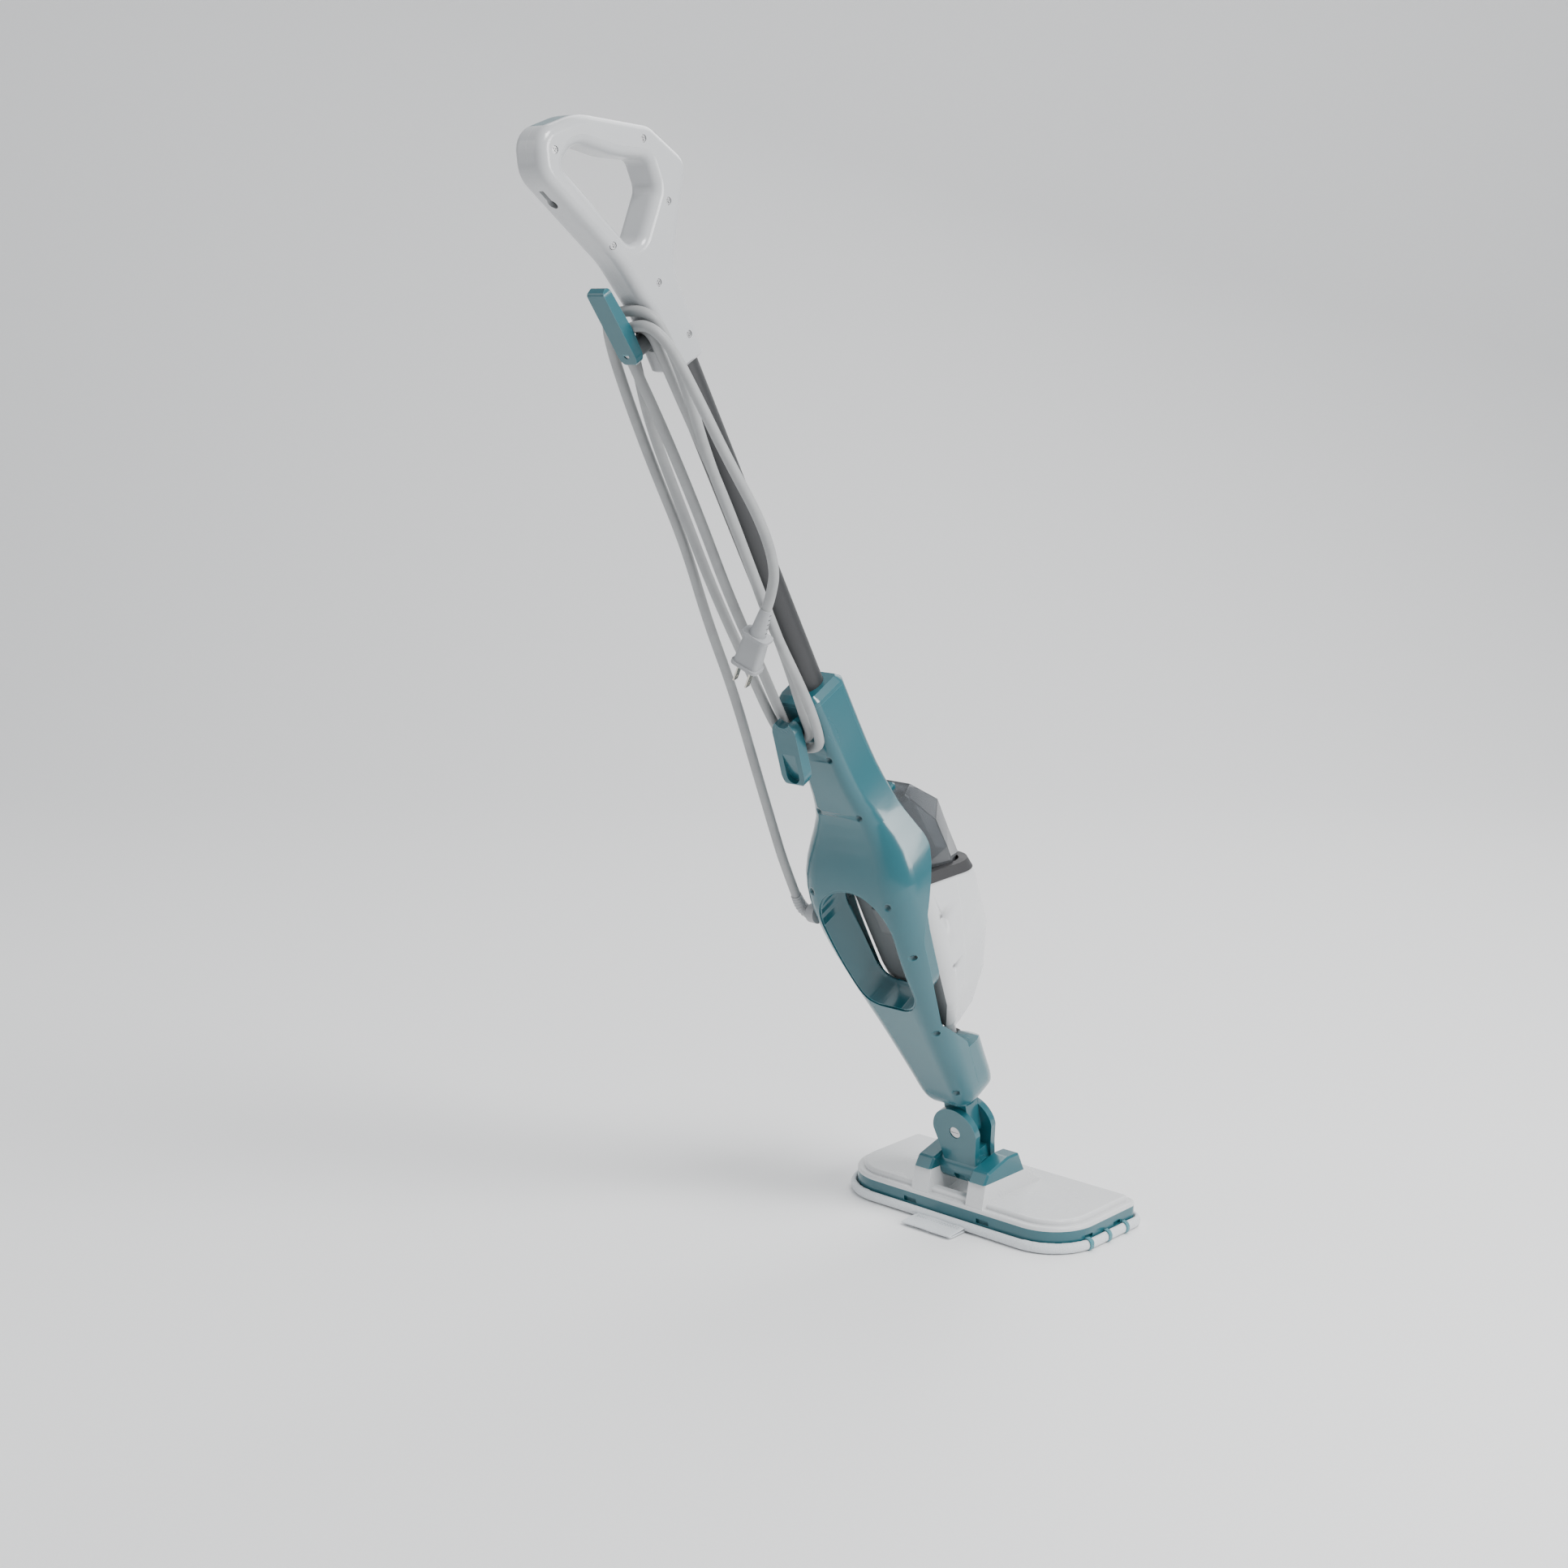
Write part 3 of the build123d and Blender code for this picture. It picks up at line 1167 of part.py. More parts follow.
with BuildPart() as plug_relief:
    with BuildSketch():
        Circle(CORD_RADIUS + 0.8)
    with BuildSketch(Plane.XY.offset(RELIEF_LENGTH)):
        Circle(7.5)
    loft()
    for step in range(5):
        with Locations((0, 0, 4.0 + 4.4 * step)):
            Box(30, 3.0, 1.6, mode=Mode.SUBTRACT)

with BuildPart() as plug_body:
    with BuildSketch(Plane.XY.offset(RELIEF_LENGTH)):
        RectangleRounded(26.0, 17.0, 5.0)
    extrude(amount=3.0)
    with BuildSketch(Plane.XY.offset(RELIEF_LENGTH + 3.0)):
        RectangleRounded(21.0, 14.0, 4.0)
    with BuildSketch(Plane.XY.offset(RELIEF_LENGTH + PLUG_LENGTH - 3.0)):
        RectangleRounded(24.0, 15.0, 4.0)
    loft()
    with BuildSketch(Plane.XY.offset(RELIEF_LENGTH + PLUG_LENGTH - 3.0)):
        RectangleRounded(27.0, 18.0, 5.0)
    extrude(amount=3.0)

with BuildPart() as plug_blades:
    with Locations((-6.35, 0, RELIEF_LENGTH + PLUG_LENGTH), (6.35, 0, RELIEF_LENGTH + PLUG_LENGTH)):
        Box(1.5, 6.3, BLADE_LENGTH, align=(Align.CENTER, Align.CENTER, Align.MIN))
    with Locations((0, 0, RELIEF_LENGTH + PLUG_LENGTH + BLADE_LENGTH - 4.0)):
        Cylinder(1.6, 40.0, rotation=(0, 90, 0), mode=Mode.SUBTRACT)

PIECES = {
    "rear_shell": rear_shell,
    "window_surround": window_surround,
    "front_shell": front_shell,
    "release_button": release_button,
    "dock": dock,
    "dock_seal": dock_seal,
    "shoulder_cap": shoulder_cap,
    "shell_screws": shell_screws,
    "pole": pole,
    "grip_liner": grip_liner,
    "grip_inlay": grip_inlay,
    "handle_screws": handle_screws,
    "hook_post": hook_post,
    "upper_hook": upper_hook,
    "hook_pin": hook_pin,
    "lower_hook": lower_hook,
    "steamer_front": steamer_front,
    "steamer_middle": steamer_middle,
    "steamer_back": steamer_back,
    "steamer_screws": steamer_screws,
    "steam_trigger": steam_trigger,
    "tank_ring": tank_ring,
    "ring_floor": ring_floor,
    "water_tank": water_tank,
    "filler_tube": filler_tube,
    "tank_latch": tank_latch,
    "steamer_nozzle": steamer_nozzle,
    "boiler": boiler,
    "pump": pump,
    "circuit_board": circuit_board,
    "steam_pipe": steam_pipe,
    "cord_gland": cord_gland,
    "strain_relief": strain_relief,
    "power_cord": power_cord,
}
for name, piece in PIECES.items():
    save(piece.part, name, POLE_FRAME)
save(handle_half(-1), "handle_right", POLE_FRAME)
save(handle_half(1), "handle_left", POLE_FRAME)

PLUG_PLACE = Plane(POLE_FRAME.location * PLUG_FRAME.location)
save(plug_relief.part, "plug_relief", PLUG_PLACE)
save(plug_body.part, "plug_body", PLUG_PLACE)
save(plug_blades.part, "plug_blades", PLUG_PLACE)
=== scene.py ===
from math import atan2, cos, pi, radians, sin

import bmesh
import bpy
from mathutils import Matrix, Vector


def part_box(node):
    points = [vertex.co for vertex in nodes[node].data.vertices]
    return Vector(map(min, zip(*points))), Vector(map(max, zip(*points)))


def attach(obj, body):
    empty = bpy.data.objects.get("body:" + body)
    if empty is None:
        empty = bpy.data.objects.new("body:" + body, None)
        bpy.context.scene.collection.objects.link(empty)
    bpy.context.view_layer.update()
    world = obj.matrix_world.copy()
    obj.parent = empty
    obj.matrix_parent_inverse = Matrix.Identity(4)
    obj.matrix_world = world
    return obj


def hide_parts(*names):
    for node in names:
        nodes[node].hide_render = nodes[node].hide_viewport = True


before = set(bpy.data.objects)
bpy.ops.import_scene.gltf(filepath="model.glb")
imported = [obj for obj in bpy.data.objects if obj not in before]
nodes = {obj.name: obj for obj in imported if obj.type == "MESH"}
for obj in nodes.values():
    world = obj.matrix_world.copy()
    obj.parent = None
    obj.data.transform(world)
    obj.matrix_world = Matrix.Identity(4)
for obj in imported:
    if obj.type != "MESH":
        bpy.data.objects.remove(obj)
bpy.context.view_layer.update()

# ---- camera ------------------------------------------------------------------
# Stands behind the mop on its right side, a little under handle height.
camera_data = bpy.data.cameras.new("camera")
camera_data.sensor_width = 36.0
camera_data.lens = 54.37
camera = bpy.data.objects.new("camera", camera_data)
camera.location = (-1.3917, 1.8308, 0.9013)
VIEW_DIRECTION = Vector((0.66072, -0.72427, -0.19718))
camera.rotation_euler = VIEW_DIRECTION.to_track_quat("-Z", "Y").to_euler()
bpy.context.scene.collection.objects.link(camera)
bpy.context.scene.camera = camera

# ---- power cord --------------------------------------------------------------
# A round PVC-sheathed flex, 9 mm thick. It leaves the gland on the left side of the body,
# goes three times over the upper cord hook and twice under the lower one, and its plug
# hangs free. The route's points are in millimetres along the leaning pole.
POLE_LEAN = radians(29.0)
POLE_ORIGIN = Vector((0.0, -0.0044592, 0.0711015))
CORD_DIAMETER = 0.009
CORD_ROUTE = (
    (79.0, 44.0, 345.0),
    (78.5, 43.0, 384.0),
    (74.0, 42.0, 425.0),
    (70.0, 37.0, 492.0),
    (57.0, 36.0, 585.0),
    (54.0, 35.0, 660.0),
    (42.0, 35.0, 742.0),
    (43.0, 34.0, 820.0),
    (40.0, 33.5, 885.0),
    (34.0, 33.5, 936.0),
    (24.0, 33.0, 963.0),
    (-23.0, 28.3, 963.5),
    (-28.5, 28.0, 932.0),
    (-29.0, 29.0, 890.0),
    (-26.0, 34.0, 825.0),
    (-30.0, 37.0, 742.0),
    (-26.0, 37.0, 668.0),
    (-30.0, 34.0, 590.0),
    (-27.0, 32.5, 550.0),
    (-20.0, 32.5, 526.0),
    (19.0, 32.5, 526.0),
    (26.0, 33.0, 552.0),
    (27.0, 34.0, 600.0),
    (30.0, 35.5, 690.0),
    (28.0, 35.0, 775.0),
    (27.0, 33.0, 860.0),
    (16.5, 28.5, 922.0),
    (13.5, 28.2, 947.5),
    (-13.0, 28.2, 947.5),
    (-14.5, 28.0, 920.0),
    (-15.5, 27.5, 880.0),
    (-17.0, 24.5, 790.0),
    (-15.0, 25.0, 700.0),
    (-17.5, 28.0, 620.0),
    (-13.8, 30.3, 562.0),
    (-12.8, 30.5, 535.7),
    (12.8, 30.5, 535.7),
    (13.6, 31.5, 562.0),
    (11.0, 34.0, 610.0),
    (12.5, 36.0, 690.0),
    (10.0, 35.0, 775.0),
    (9.0, 36.5, 860.0),
    (12.2, 37.3, 921.0),
    (13.0, 37.4, 947.5),
    (-22.0, 37.4, 957.0),
    (-40.0, 38.0, 938.0),
    (-47.0, 38.5, 900.0),
    (-56.0, 39.5, 832.0),
    (-68.0, 41.0, 776.0),
    (-67.0, 44.0, 732.0),
    (-52.0, 48.0, 704.0),
    (-46.0, 52.0, 694.0),
)


def pole_point(x, y, z):
    """A point given along the leaning pole, in millimetres, as a place in the frame."""
    return POLE_ORIGIN + 0.001 * Vector((
        x,
        y * cos(POLE_LEAN) + z * sin(POLE_LEAN),
        z * cos(POLE_LEAN) - y * sin(POLE_LEAN),
    ))


def link(piece):
    """Put a new object into the scene."""
    bpy.context.scene.collection.objects.link(piece)
    return piece


def shader_of(material):
    """The Principled shader of a material."""
    return material.node_tree.nodes["Principled BSDF"]


def new_material(name):
    """An empty node material, its node tree and its shader."""
    material = bpy.data.materials.new(name)
    material.use_nodes = True
    return material, material.node_tree, shader_of(material)


def new_group(name, inputs, outputs):
    """A shader node group with number inputs and the outputs asked for."""
    tree = bpy.data.node_groups.new(name, "ShaderNodeTree")
    for label, value in inputs:
        socket = tree.interface.new_socket(label, in_out="INPUT", socket_type="NodeSocketFloat")
        socket.default_value = value
    for label, kind in outputs:
        tree.interface.new_socket(label, in_out="OUTPUT", socket_type=kind)
    return tree, tree.nodes.new("NodeGroupInput"), tree.nodes.new("NodeGroupOutput")


# Fine moulded or sprayed grain: a height field turned into a normal.
grain_tree, grain_in, grain_out = new_group(
    "grain",
    (("Scale", 900.0), ("Depth", 0.1)),
    (("Mask", "NodeSocketFloat"), ("Normal", "NodeSocketVector")),
)
grain_place = grain_tree.nodes.new("ShaderNodeTexCoord")
grain_noise = grain_tree.nodes.new("ShaderNodeTexNoise")
grain_noise.inputs["Detail"].default_value = 4.0
grain_bump = grain_tree.nodes.new("ShaderNodeBump")
grain_bump.inputs["Distance"].default_value = 0.0004
grain_tree.links.new(grain_place.outputs["Object"], grain_noise.inputs["Vector"])
grain_tree.links.new(grain_in.outputs["Scale"], grain_noise.inputs["Scale"])
grain_tree.links.new(grain_in.outputs["Depth"], grain_bump.inputs["Strength"])
grain_tree.links.new(grain_noise.outputs["Fac"], grain_bump.inputs["Height"])
grain_tree.links.new(grain_noise.outputs["Fac"], grain_out.inputs["Mask"])
grain_tree.links.new(grain_bump.outputs["Normal"], grain_out.inputs["Normal"])

# Handling marks: broad soft patches crossed by faint streaks.
smudge_tree, smudge_in, smudge_out = new_group(
    "smudge",
    (("Scale", 14.0), ("Contrast", 0.5)),
    (("Mask", "NodeSocketFloat"),),
)
smudge_place = smudge_tree.nodes.new("ShaderNodeTexCoord")
smudge_noise = smudge_tree.nodes.new("ShaderNodeTexNoise")
smudge_noise.inputs["Detail"].default_value = 6.0
smudge_noise.inputs["Roughness"].default_value = 0.6
smudge_noise.inputs["Distortion"].default_value = 0.7
smudge_lift = smudge_tree.nodes.new("ShaderNodeMath")
smudge_lift.operation = "SUBTRACT"
smudge_lift.inputs[1].default_value = 0.5
smudge_gain = smudge_tree.nodes.new("ShaderNodeMath")
smudge_gain.operation = "MULTIPLY"
smudge_back = smudge_tree.nodes.new("ShaderNodeMath")
smudge_back.operation = "ADD"
smudge_back.inputs[1].default_value = 0.5
smudge_back.use_clamp = True
smudge_tree.links.new(smudge_place.outputs["Object"], smudge_noise.inputs["Vector"])
smudge_tree.links.new(smudge_in.outputs["Scale"], smudge_noise.inputs["Scale"])
smudge_tree.links.new(smudge_noise.outputs["Fac"], smudge_lift.inputs[0])
smudge_tree.links.new(smudge_lift.outputs[0], smudge_gain.inputs[0])
smudge_tree.links.new(smudge_in.outputs["Contrast"], smudge_gain.inputs[1])
smudge_tree.links.new(smudge_gain.outputs[0], smudge_back.inputs[0])
smudge_tree.links.new(smudge_back.outputs[0], smudge_out.inputs["Mask"])

# Painted edge highlight: a mask where a softened normal leaves the true one, used to lighten edges as
# if they caught the light.
edge_tree, edge_in, edge_out = new_group(
    "painted_edge_highlight",
    (("Width", 0.0007), ("Gain", 6.0)),
    (("Mask", "NodeSocketFloat"),),
)
edge_soft = edge_tree.nodes.new("ShaderNodeBevel")
edge_soft.samples = 4
edge_true = edge_tree.nodes.new("ShaderNodeNewGeometry")
edge_dot = edge_tree.nodes.new("ShaderNodeVectorMath")
edge_dot.operation = "DOT_PRODUCT"
edge_less = edge_tree.nodes.new("ShaderNodeMath")
edge_less.operation = "SUBTRACT"
edge_less.inputs[0].default_value = 1.0
edge_gain = edge_tree.nodes.new("ShaderNodeMath")
edge_gain.operation = "MULTIPLY"
edge_gain.use_clamp = True
edge_tree.links.new(edge_in.outputs["Width"], edge_soft.inputs["Radius"])
edge_tree.links.new(edge_soft.outputs["Normal"], edge_dot.inputs[0])
edge_tree.links.new(edge_true.outputs["Normal"], edge_dot.inputs[1])
edge_tree.links.new(edge_dot.outputs["Value"], edge_less.inputs[1])
edge_tree.links.new(edge_less.outputs[0], edge_gain.inputs[0])
edge_tree.links.new(edge_in.outputs["Gain"], edge_gain.inputs[1])
edge_tree.links.new(edge_gain.outputs[0], edge_out.inputs["Mask"])


def place_group(tree, group, **values):
    """Place a node group in a material with its own values."""
    node = tree.nodes.new("ShaderNodeGroup")
    node.node_tree = group
    for label, value in values.items():
        node.inputs[label].default_value = value
    return node


def mix_colours(tree, mask, first, second):
    """Two colours (a colour or an output) mixed by a mask output; returns the result."""
    mix = tree.nodes.new("ShaderNodeMix")
    mix.data_type = "RGBA"
    tree.links.new(mask, mix.inputs["Factor"])
    for colour, socket in ((first, mix.inputs["A"]), (second, mix.inputs["B"])):
        if isinstance(colour, tuple):
            socket.default_value = (*colour, 1.0)
        else:
            tree.links.new(colour, socket)
    return mix.outputs["Result"]


def spread(tree, mask, low, high):
    """A mask output stretched to run from low to high."""
    stretch = tree.nodes.new("ShaderNodeMapRange")
    stretch.inputs["To Min"].default_value = low
    stretch.inputs["To Max"].default_value = high
    tree.links.new(mask, stretch.inputs["Value"])
    return stretch.outputs["Result"]


def feed_shader(tree, shader, colour, roughness, normal):
    """Link a colour, a roughness and a normal output to the shader."""
    tree.links.new(colour, shader.inputs["Base Color"])
    tree.links.new(roughness, shader.inputs["Roughness"])
    tree.links.new(normal, shader.inputs["Normal"])


def moulded_plastic(name, colour, shade, edge, gloss, grain_scale, grain_depth, coat=0.0):
    """Injection-moulded plastic: even colour with faint patches, fine grain, and edges lightened as a
    painted highlight.
    """
    material, tree, shader = new_material(name)
    smudge = place_group(tree, smudge_tree, Scale=11.0, Contrast=1.4)
    edge_highlight_mask = place_group(tree, edge_tree, Width=0.0006, Gain=4.0)
    grain = place_group(tree, grain_tree, Scale=grain_scale, Depth=grain_depth)
    body = mix_colours(tree, smudge.outputs["Mask"], colour, shade)
    # Painted highlight: every edge is mixed towards the lighter edge colour.
    highlit_body = mix_colours(tree, edge_highlight_mask.outputs["Mask"], body, edge)
    roughness = spread(tree, smudge.outputs["Mask"], *gloss)
    feed_shader(tree, shader, highlit_body, roughness, grain.outputs["Normal"])
    shader.inputs["Coat Weight"].default_value = coat
    shader.inputs["Coat Roughness"].default_value = 0.08
    return material


def patchy_material(name, colour, shade, patches, grain, gloss):
    """A material whose colour and gloss drift in soft patches over a fine grain."""
    material, tree, shader = new_material(name)
    smudge = place_group(tree, smudge_tree, Scale=patches[0], Contrast=patches[1])
    fine = place_group(tree, grain_tree, Scale=grain[0], Depth=grain[1])
    body = mix_colours(tree, smudge.outputs["Mask"], colour, shade)
    roughness = spread(tree, smudge.outputs["Mask"], *gloss)
    feed_shader(tree, shader, body, roughness, fine.outputs["Normal"])
    return material


def dress(material, slot, *names):
    """Give frame pieces their material."""
    for name in names:
        piece = nodes[name]
        piece.data.materials.clear()
        piece.data.materials.append(material)


CREASE_ANGLE = radians(28.0)


def stand_in(piece, material, body, solid):
    """Dress a modelled piece, fix it to its body and let it replace the plain solid."""
    piece.data.materials.clear()
    piece.data.materials.append(material)
    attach(piece, body)
    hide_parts(solid)


def dress_smooth(material, slot, body, *names):
    """Stand in for lofted pieces with copies that are shaded smooth below the crease angle."""
    for name in names:
        weld = bmesh.new()
        weld.from_mesh(nodes[name].data)
        bmesh.ops.remove_doubles(weld, verts=weld.verts, dist=1e-6)
        mesh = bpy.data.meshes.new("smooth_" + name)
        weld.to_mesh(mesh)
        weld.free()
        for face in mesh.polygons:
            face.use_smooth = True
        mesh.set_sharp_from_angle(angle=CREASE_ANGLE)
        piece = link(bpy.data.objects.new("smooth_" + name, mesh))
        piece.matrix_world = nodes[name].matrix_world
        stand_in(piece, material, body, name)


cord_sleeve = patchy_material(
    "cord_sleeve", (0.36, 0.37, 0.37), (0.28, 0.285, 0.29),
    patches=(30.0, 1.6), grain=(700.0, 0.12), gloss=(0.42, 0.56),
)

cord_curve = bpy.data.curves.new("flex", "CURVE")
cord_curve.dimensions = "3D"
cord_curve.bevel_depth = CORD_DIAMETER / 2
cord_curve.bevel_resolution = 5
cord_curve.resolution_u = 10
cord_curve.use_fill_caps = True
spline = cord_curve.splines.new("NURBS")
spline.points.add(len(CORD_ROUTE) - 1)
for point, place in zip(spline.points, CORD_ROUTE):
    point.co = (*pole_point(*place), 1.0)
spline.order_u = 3
spline.use_endpoint_u = True
flex = link(bpy.data.objects.new("flex", cord_curve))
stand_in(flex, cord_sleeve, "housing", "power_cord")

# ---- plug, reliefs and grey fittings -----------------------------------------
# The plug is moulded on to the flex in grey PVC, with two flat plated blades and a
# tapered relief that bends. The cord's gland and its relief, the steamer's nozzle and
# the tank's filler tube are of the same grey.
# The third colour is a painted highlight along the edges.
soft_grey = moulded_plastic(
    "soft_grey_pvc", (0.36, 0.37, 0.38), (0.30, 0.31, 0.32), (0.48, 0.49, 0.50),
    gloss=(0.40, 0.55), grain_scale=1400.0, grain_depth=0.18,
)
dress(
    soft_grey, "pale_plastic", "plug_relief", "plug_body", "filler_tube", "steamer_nozzle",
    "cord_gland", "strain_relief",
)

blade_metal, blade_tree, blade_shader = new_material("plated_blades")
blade_grain = place_group(blade_tree, grain_tree, Scale=500.0, Depth=0.15)
feed_shader(
    blade_tree,
    blade_shader,
    mix_colours(blade_tree, blade_grain.outputs["Mask"], (0.58, 0.55, 0.48), (0.70, 0.68, 0.62)),
    spread(blade_tree, blade_grain.outputs["Mask"], 0.18, 0.34),
    blade_grain.outputs["Normal"],
)
blade_shader.inputs["Metallic"].default_value = 1.0
dress(blade_metal, "blade_metal", "plug_blades")

# ---- teal mouldings ----------------------------------------------------------
# The body shells, dock, shoulder, neck, yoke, hooks, caps and the head's frame are
# glossy moulded ABS. The shells are screwed together from behind.
# The third colour is a painted highlight along the edges.
teal = moulded_plastic(
    "teal_abs", (0.016, 0.110, 0.136), (0.012, 0.092, 0.116), (0.06, 0.23, 0.27),
    gloss=(0.20, 0.30), grain_scale=2200.0, grain_depth=0.04, coat=0.35,
)
dress(
    teal, "teal_plastic", "shoulder_cap", "grip_inlay", "upper_hook", "lower_hook", "yoke", "neck",
    "cheek_cap_right", "cheek_cap_left", "tank_latch", "base_frame", "release_button",
)
dress_smooth(
    teal, "teal_plastic", "housing", "rear_shell", "front_shell", "dock", "window_surround"
)

# ---- white mouldings ---------------------------------------------------------
# The head's cover and the two white casings of the hand steamer are moulded in glossy
# ABS. The steamer's casings are screwed to its back, which is coloured dark grey as painted shade.
# The third colour is a painted highlight along the edges.
white = moulded_plastic(
    "white_abs", (0.66, 0.67, 0.67), (0.60, 0.61, 0.62), (0.80, 0.81, 0.81),
    gloss=(0.22, 0.33), grain_scale=2000.0, grain_depth=0.04, coat=0.25,
)
dress(white, "white_plastic", "head_cover")
dress_smooth(white, "white_plastic", "hand_steamer", "steamer_front", "steamer_middle")

# ---- handle ------------------------------------------------------------------
# Two halves moulded in pale grey ABS and screwed together round the end of the tube,
# with a separate liner in the hand hole.
# The third colour is a painted highlight along the edges.
pale_handle = moulded_plastic(
    "pale_grey_abs", (0.50, 0.51, 0.52), (0.44, 0.45, 0.46), (0.64, 0.65, 0.66),
    gloss=(0.20, 0.30), grain_scale=2000.0, grain_depth=0.04, coat=0.3,
)
dress(pale_handle, "handle_plastic", "handle_right", "handle_left", "grip_liner")

# ---- dark grey mouldings -----------------------------------------------------
# The trigger and the post of the upper hook are moulded in glass-filled nylon, with a
# finer sheen than the teal pieces. The steamer's back has the same dark grey as painted
# shade on its rear.
# The third colour is a painted highlight along the edges.
dark_grey = moulded_plastic(
    "dark_grey_nylon_and_painted_shade", (0.125, 0.135, 0.140), (0.100, 0.108, 0.112), (0.22, 0.23, 0.24),
    gloss=(0.38, 0.52), grain_scale=1300.0, grain_depth=0.22,
)
dress(dark_grey, "grey_plastic", "hook_post", "steam_trigger")
# Painted shade: the steamer's back is coloured dark grey for its rear lying in shade.
dress_smooth(dark_grey, "grey_plastic", "hand_steamer", "steamer_back")

# ---- smoked tank -------------------------------------------------------------
# The water tank is clear polycarbonate tinted with smoke grey. It is moulded with flat
# facets and lifts off the ring below it.
smoked = patchy_material(
    "smoked_polycarbonate", (0.34, 0.36, 0.38), (0.27, 0.29, 0.31),
    patches=(18.0, 1.5), grain=(60.0, 0.03), gloss=(0.03, 0.12),
)
smoked_shader = shader_of(smoked)
smoked_shader.inputs["Transmission Weight"].default_value = 0.85
smoked_shader.inputs["IOR"].default_value = 1.45
dress(smoked, "smoked_plastic", "water_tank")

# ---- pole --------------------------------------------------------------------
# An oval drawn aluminium tube with a satin dark powder coat. It is held in the body's
# shoulder below and in the handle's halves above.
coat, coat_tree, coat_shader = new_material("dark_powder_coat")
coat_grain = place_group(coat_tree, grain_tree, Scale=1600.0, Depth=0.35)
coat_smudge = place_group(coat_tree, smudge_tree, Scale=9.0, Contrast=1.2)
feed_shader(
    coat_tree,
    coat_shader,
    mix_colours(coat_tree, coat_smudge.outputs["Mask"], (0.040, 0.041, 0.043), (0.030, 0.031, 0.033)),
    spread(coat_tree, coat_grain.outputs["Mask"], 0.34, 0.50),
    coat_grain.outputs["Normal"],
)
coat_shader.inputs["Metallic"].default_value = 0.25
dress(coat, "pole_metal", "pole")

# ---- rubber ring and seals ---------------------------------------------------
# The ring under the tank with its floor, the dock's seal and the head's seal are black
# silicone rubber with a dry, slightly dusty face.
rubber = patchy_material(
    "black_silicone", (0.018, 0.018, 0.020), (0.032, 0.032, 0.034),
    patches=(25.0, 1.8), grain=(1100.0, 0.3), gloss=(0.50, 0.72),
)
dress(rubber, "black_rubber", "ring_floor", "dock_seal", "head_seal")
dress_smooth(rubber, "black_rubber", "hand_steamer", "tank_ring")

# ---- metal pieces ------------------------------------------------------------
# Pins and screws are zinc-plated steel; the steam plate and the pipe are stainless. All
# share one brushed finish whose lines run along X.
steel, steel_tree, steel_shader = new_material("plated_steel")
steel_place = steel_tree.nodes.new("ShaderNodeTexCoord")
steel_stretch = steel_tree.nodes.new("ShaderNodeMapping")
steel_stretch.inputs["Scale"].default_value = (40.0, 1200.0, 1200.0)
steel_lines = steel_tree.nodes.new("ShaderNodeTexNoise")
steel_lines.inputs["Scale"].default_value = 1.0
steel_bump = steel_tree.nodes.new("ShaderNodeBump")
steel_bump.inputs["Strength"].default_value = 0.15
steel_bump.inputs["Distance"].default_value = 0.0002
steel_tree.links.new(steel_place.outputs["Object"], steel_stretch.inputs["Vector"])
steel_tree.links.new(steel_stretch.outputs["Vector"], steel_lines.inputs["Vector"])
steel_tree.links.new(steel_lines.outputs["Fac"], steel_bump.inputs["Height"])
feed_shader(
    steel_tree,
    steel_shader,
    mix_colours(steel_tree, steel_lines.outputs["Fac"], (0.42, 0.42, 0.43), (0.60, 0.60, 0.60)),
    spread(steel_tree, steel_lines.outputs["Fac"], 0.22, 0.42),
    steel_bump.outputs["Normal"],
)
steel_shader.inputs["Metallic"].default_value = 1.0
dress(
    steel, "steel", "tilt_pins", "swivel_pin", "hook_pin", "shell_screws", "handle_screws",
    "steamer_screws", "head_screws", "steam_pipe", "steam_plate",
)

# ---- pieces inside the steamer -----------------------------------------------
# A cast aluminium boiler, a black pump and a green circuit board, closed in by the
# steamer's casings.
# The third colour is a painted highlight along the edges.
cast = moulded_plastic(
    "cast_aluminium", (0.52, 0.52, 0.53), (0.40, 0.40, 0.41), (0.66, 0.66, 0.66),
    gloss=(0.40, 0.62), grain_scale=420.0, grain_depth=0.6,
)
shader_of(cast).inputs["Metallic"].default_value = 0.9
dress(cast, "boiler_metal", "boiler")
# The third colour is a painted highlight along the edges.
pump_black = moulded_plastic(
    "pump_black", (0.030, 0.030, 0.032), (0.045, 0.045, 0.047), (0.09, 0.09, 0.09),
    gloss=(0.40, 0.60), grain_scale=1200.0, grain_depth=0.25,
)
dress(pump_black, "pump_plastic", "pump")
# The third colour is a painted highlight along the edges.
laminate = moulded_plastic(
    "green_laminate", (0.020, 0.110, 0.045), (0.014, 0.080, 0.034), (0.10, 0.22, 0.12),
    gloss=(0.30, 0.45), grain_scale=600.0, grain_depth=0.2,
)
dress(laminate, "board_laminate", "circuit_board")

# ---- cloth pad ---------------------------------------------------------------
# Microfibre pad with a rolled rim, a sewn pull tab and elastic loops at one end. It
# stretches over the head and is pulled off by the tab.
CLOTH_LIMIT = 0.0012       # how far the cloth may puff from the plain cushion
CLOTH_STEPS = 20
FLOOR_GAP = 0.0002         # the cloth's lowest height over the floor


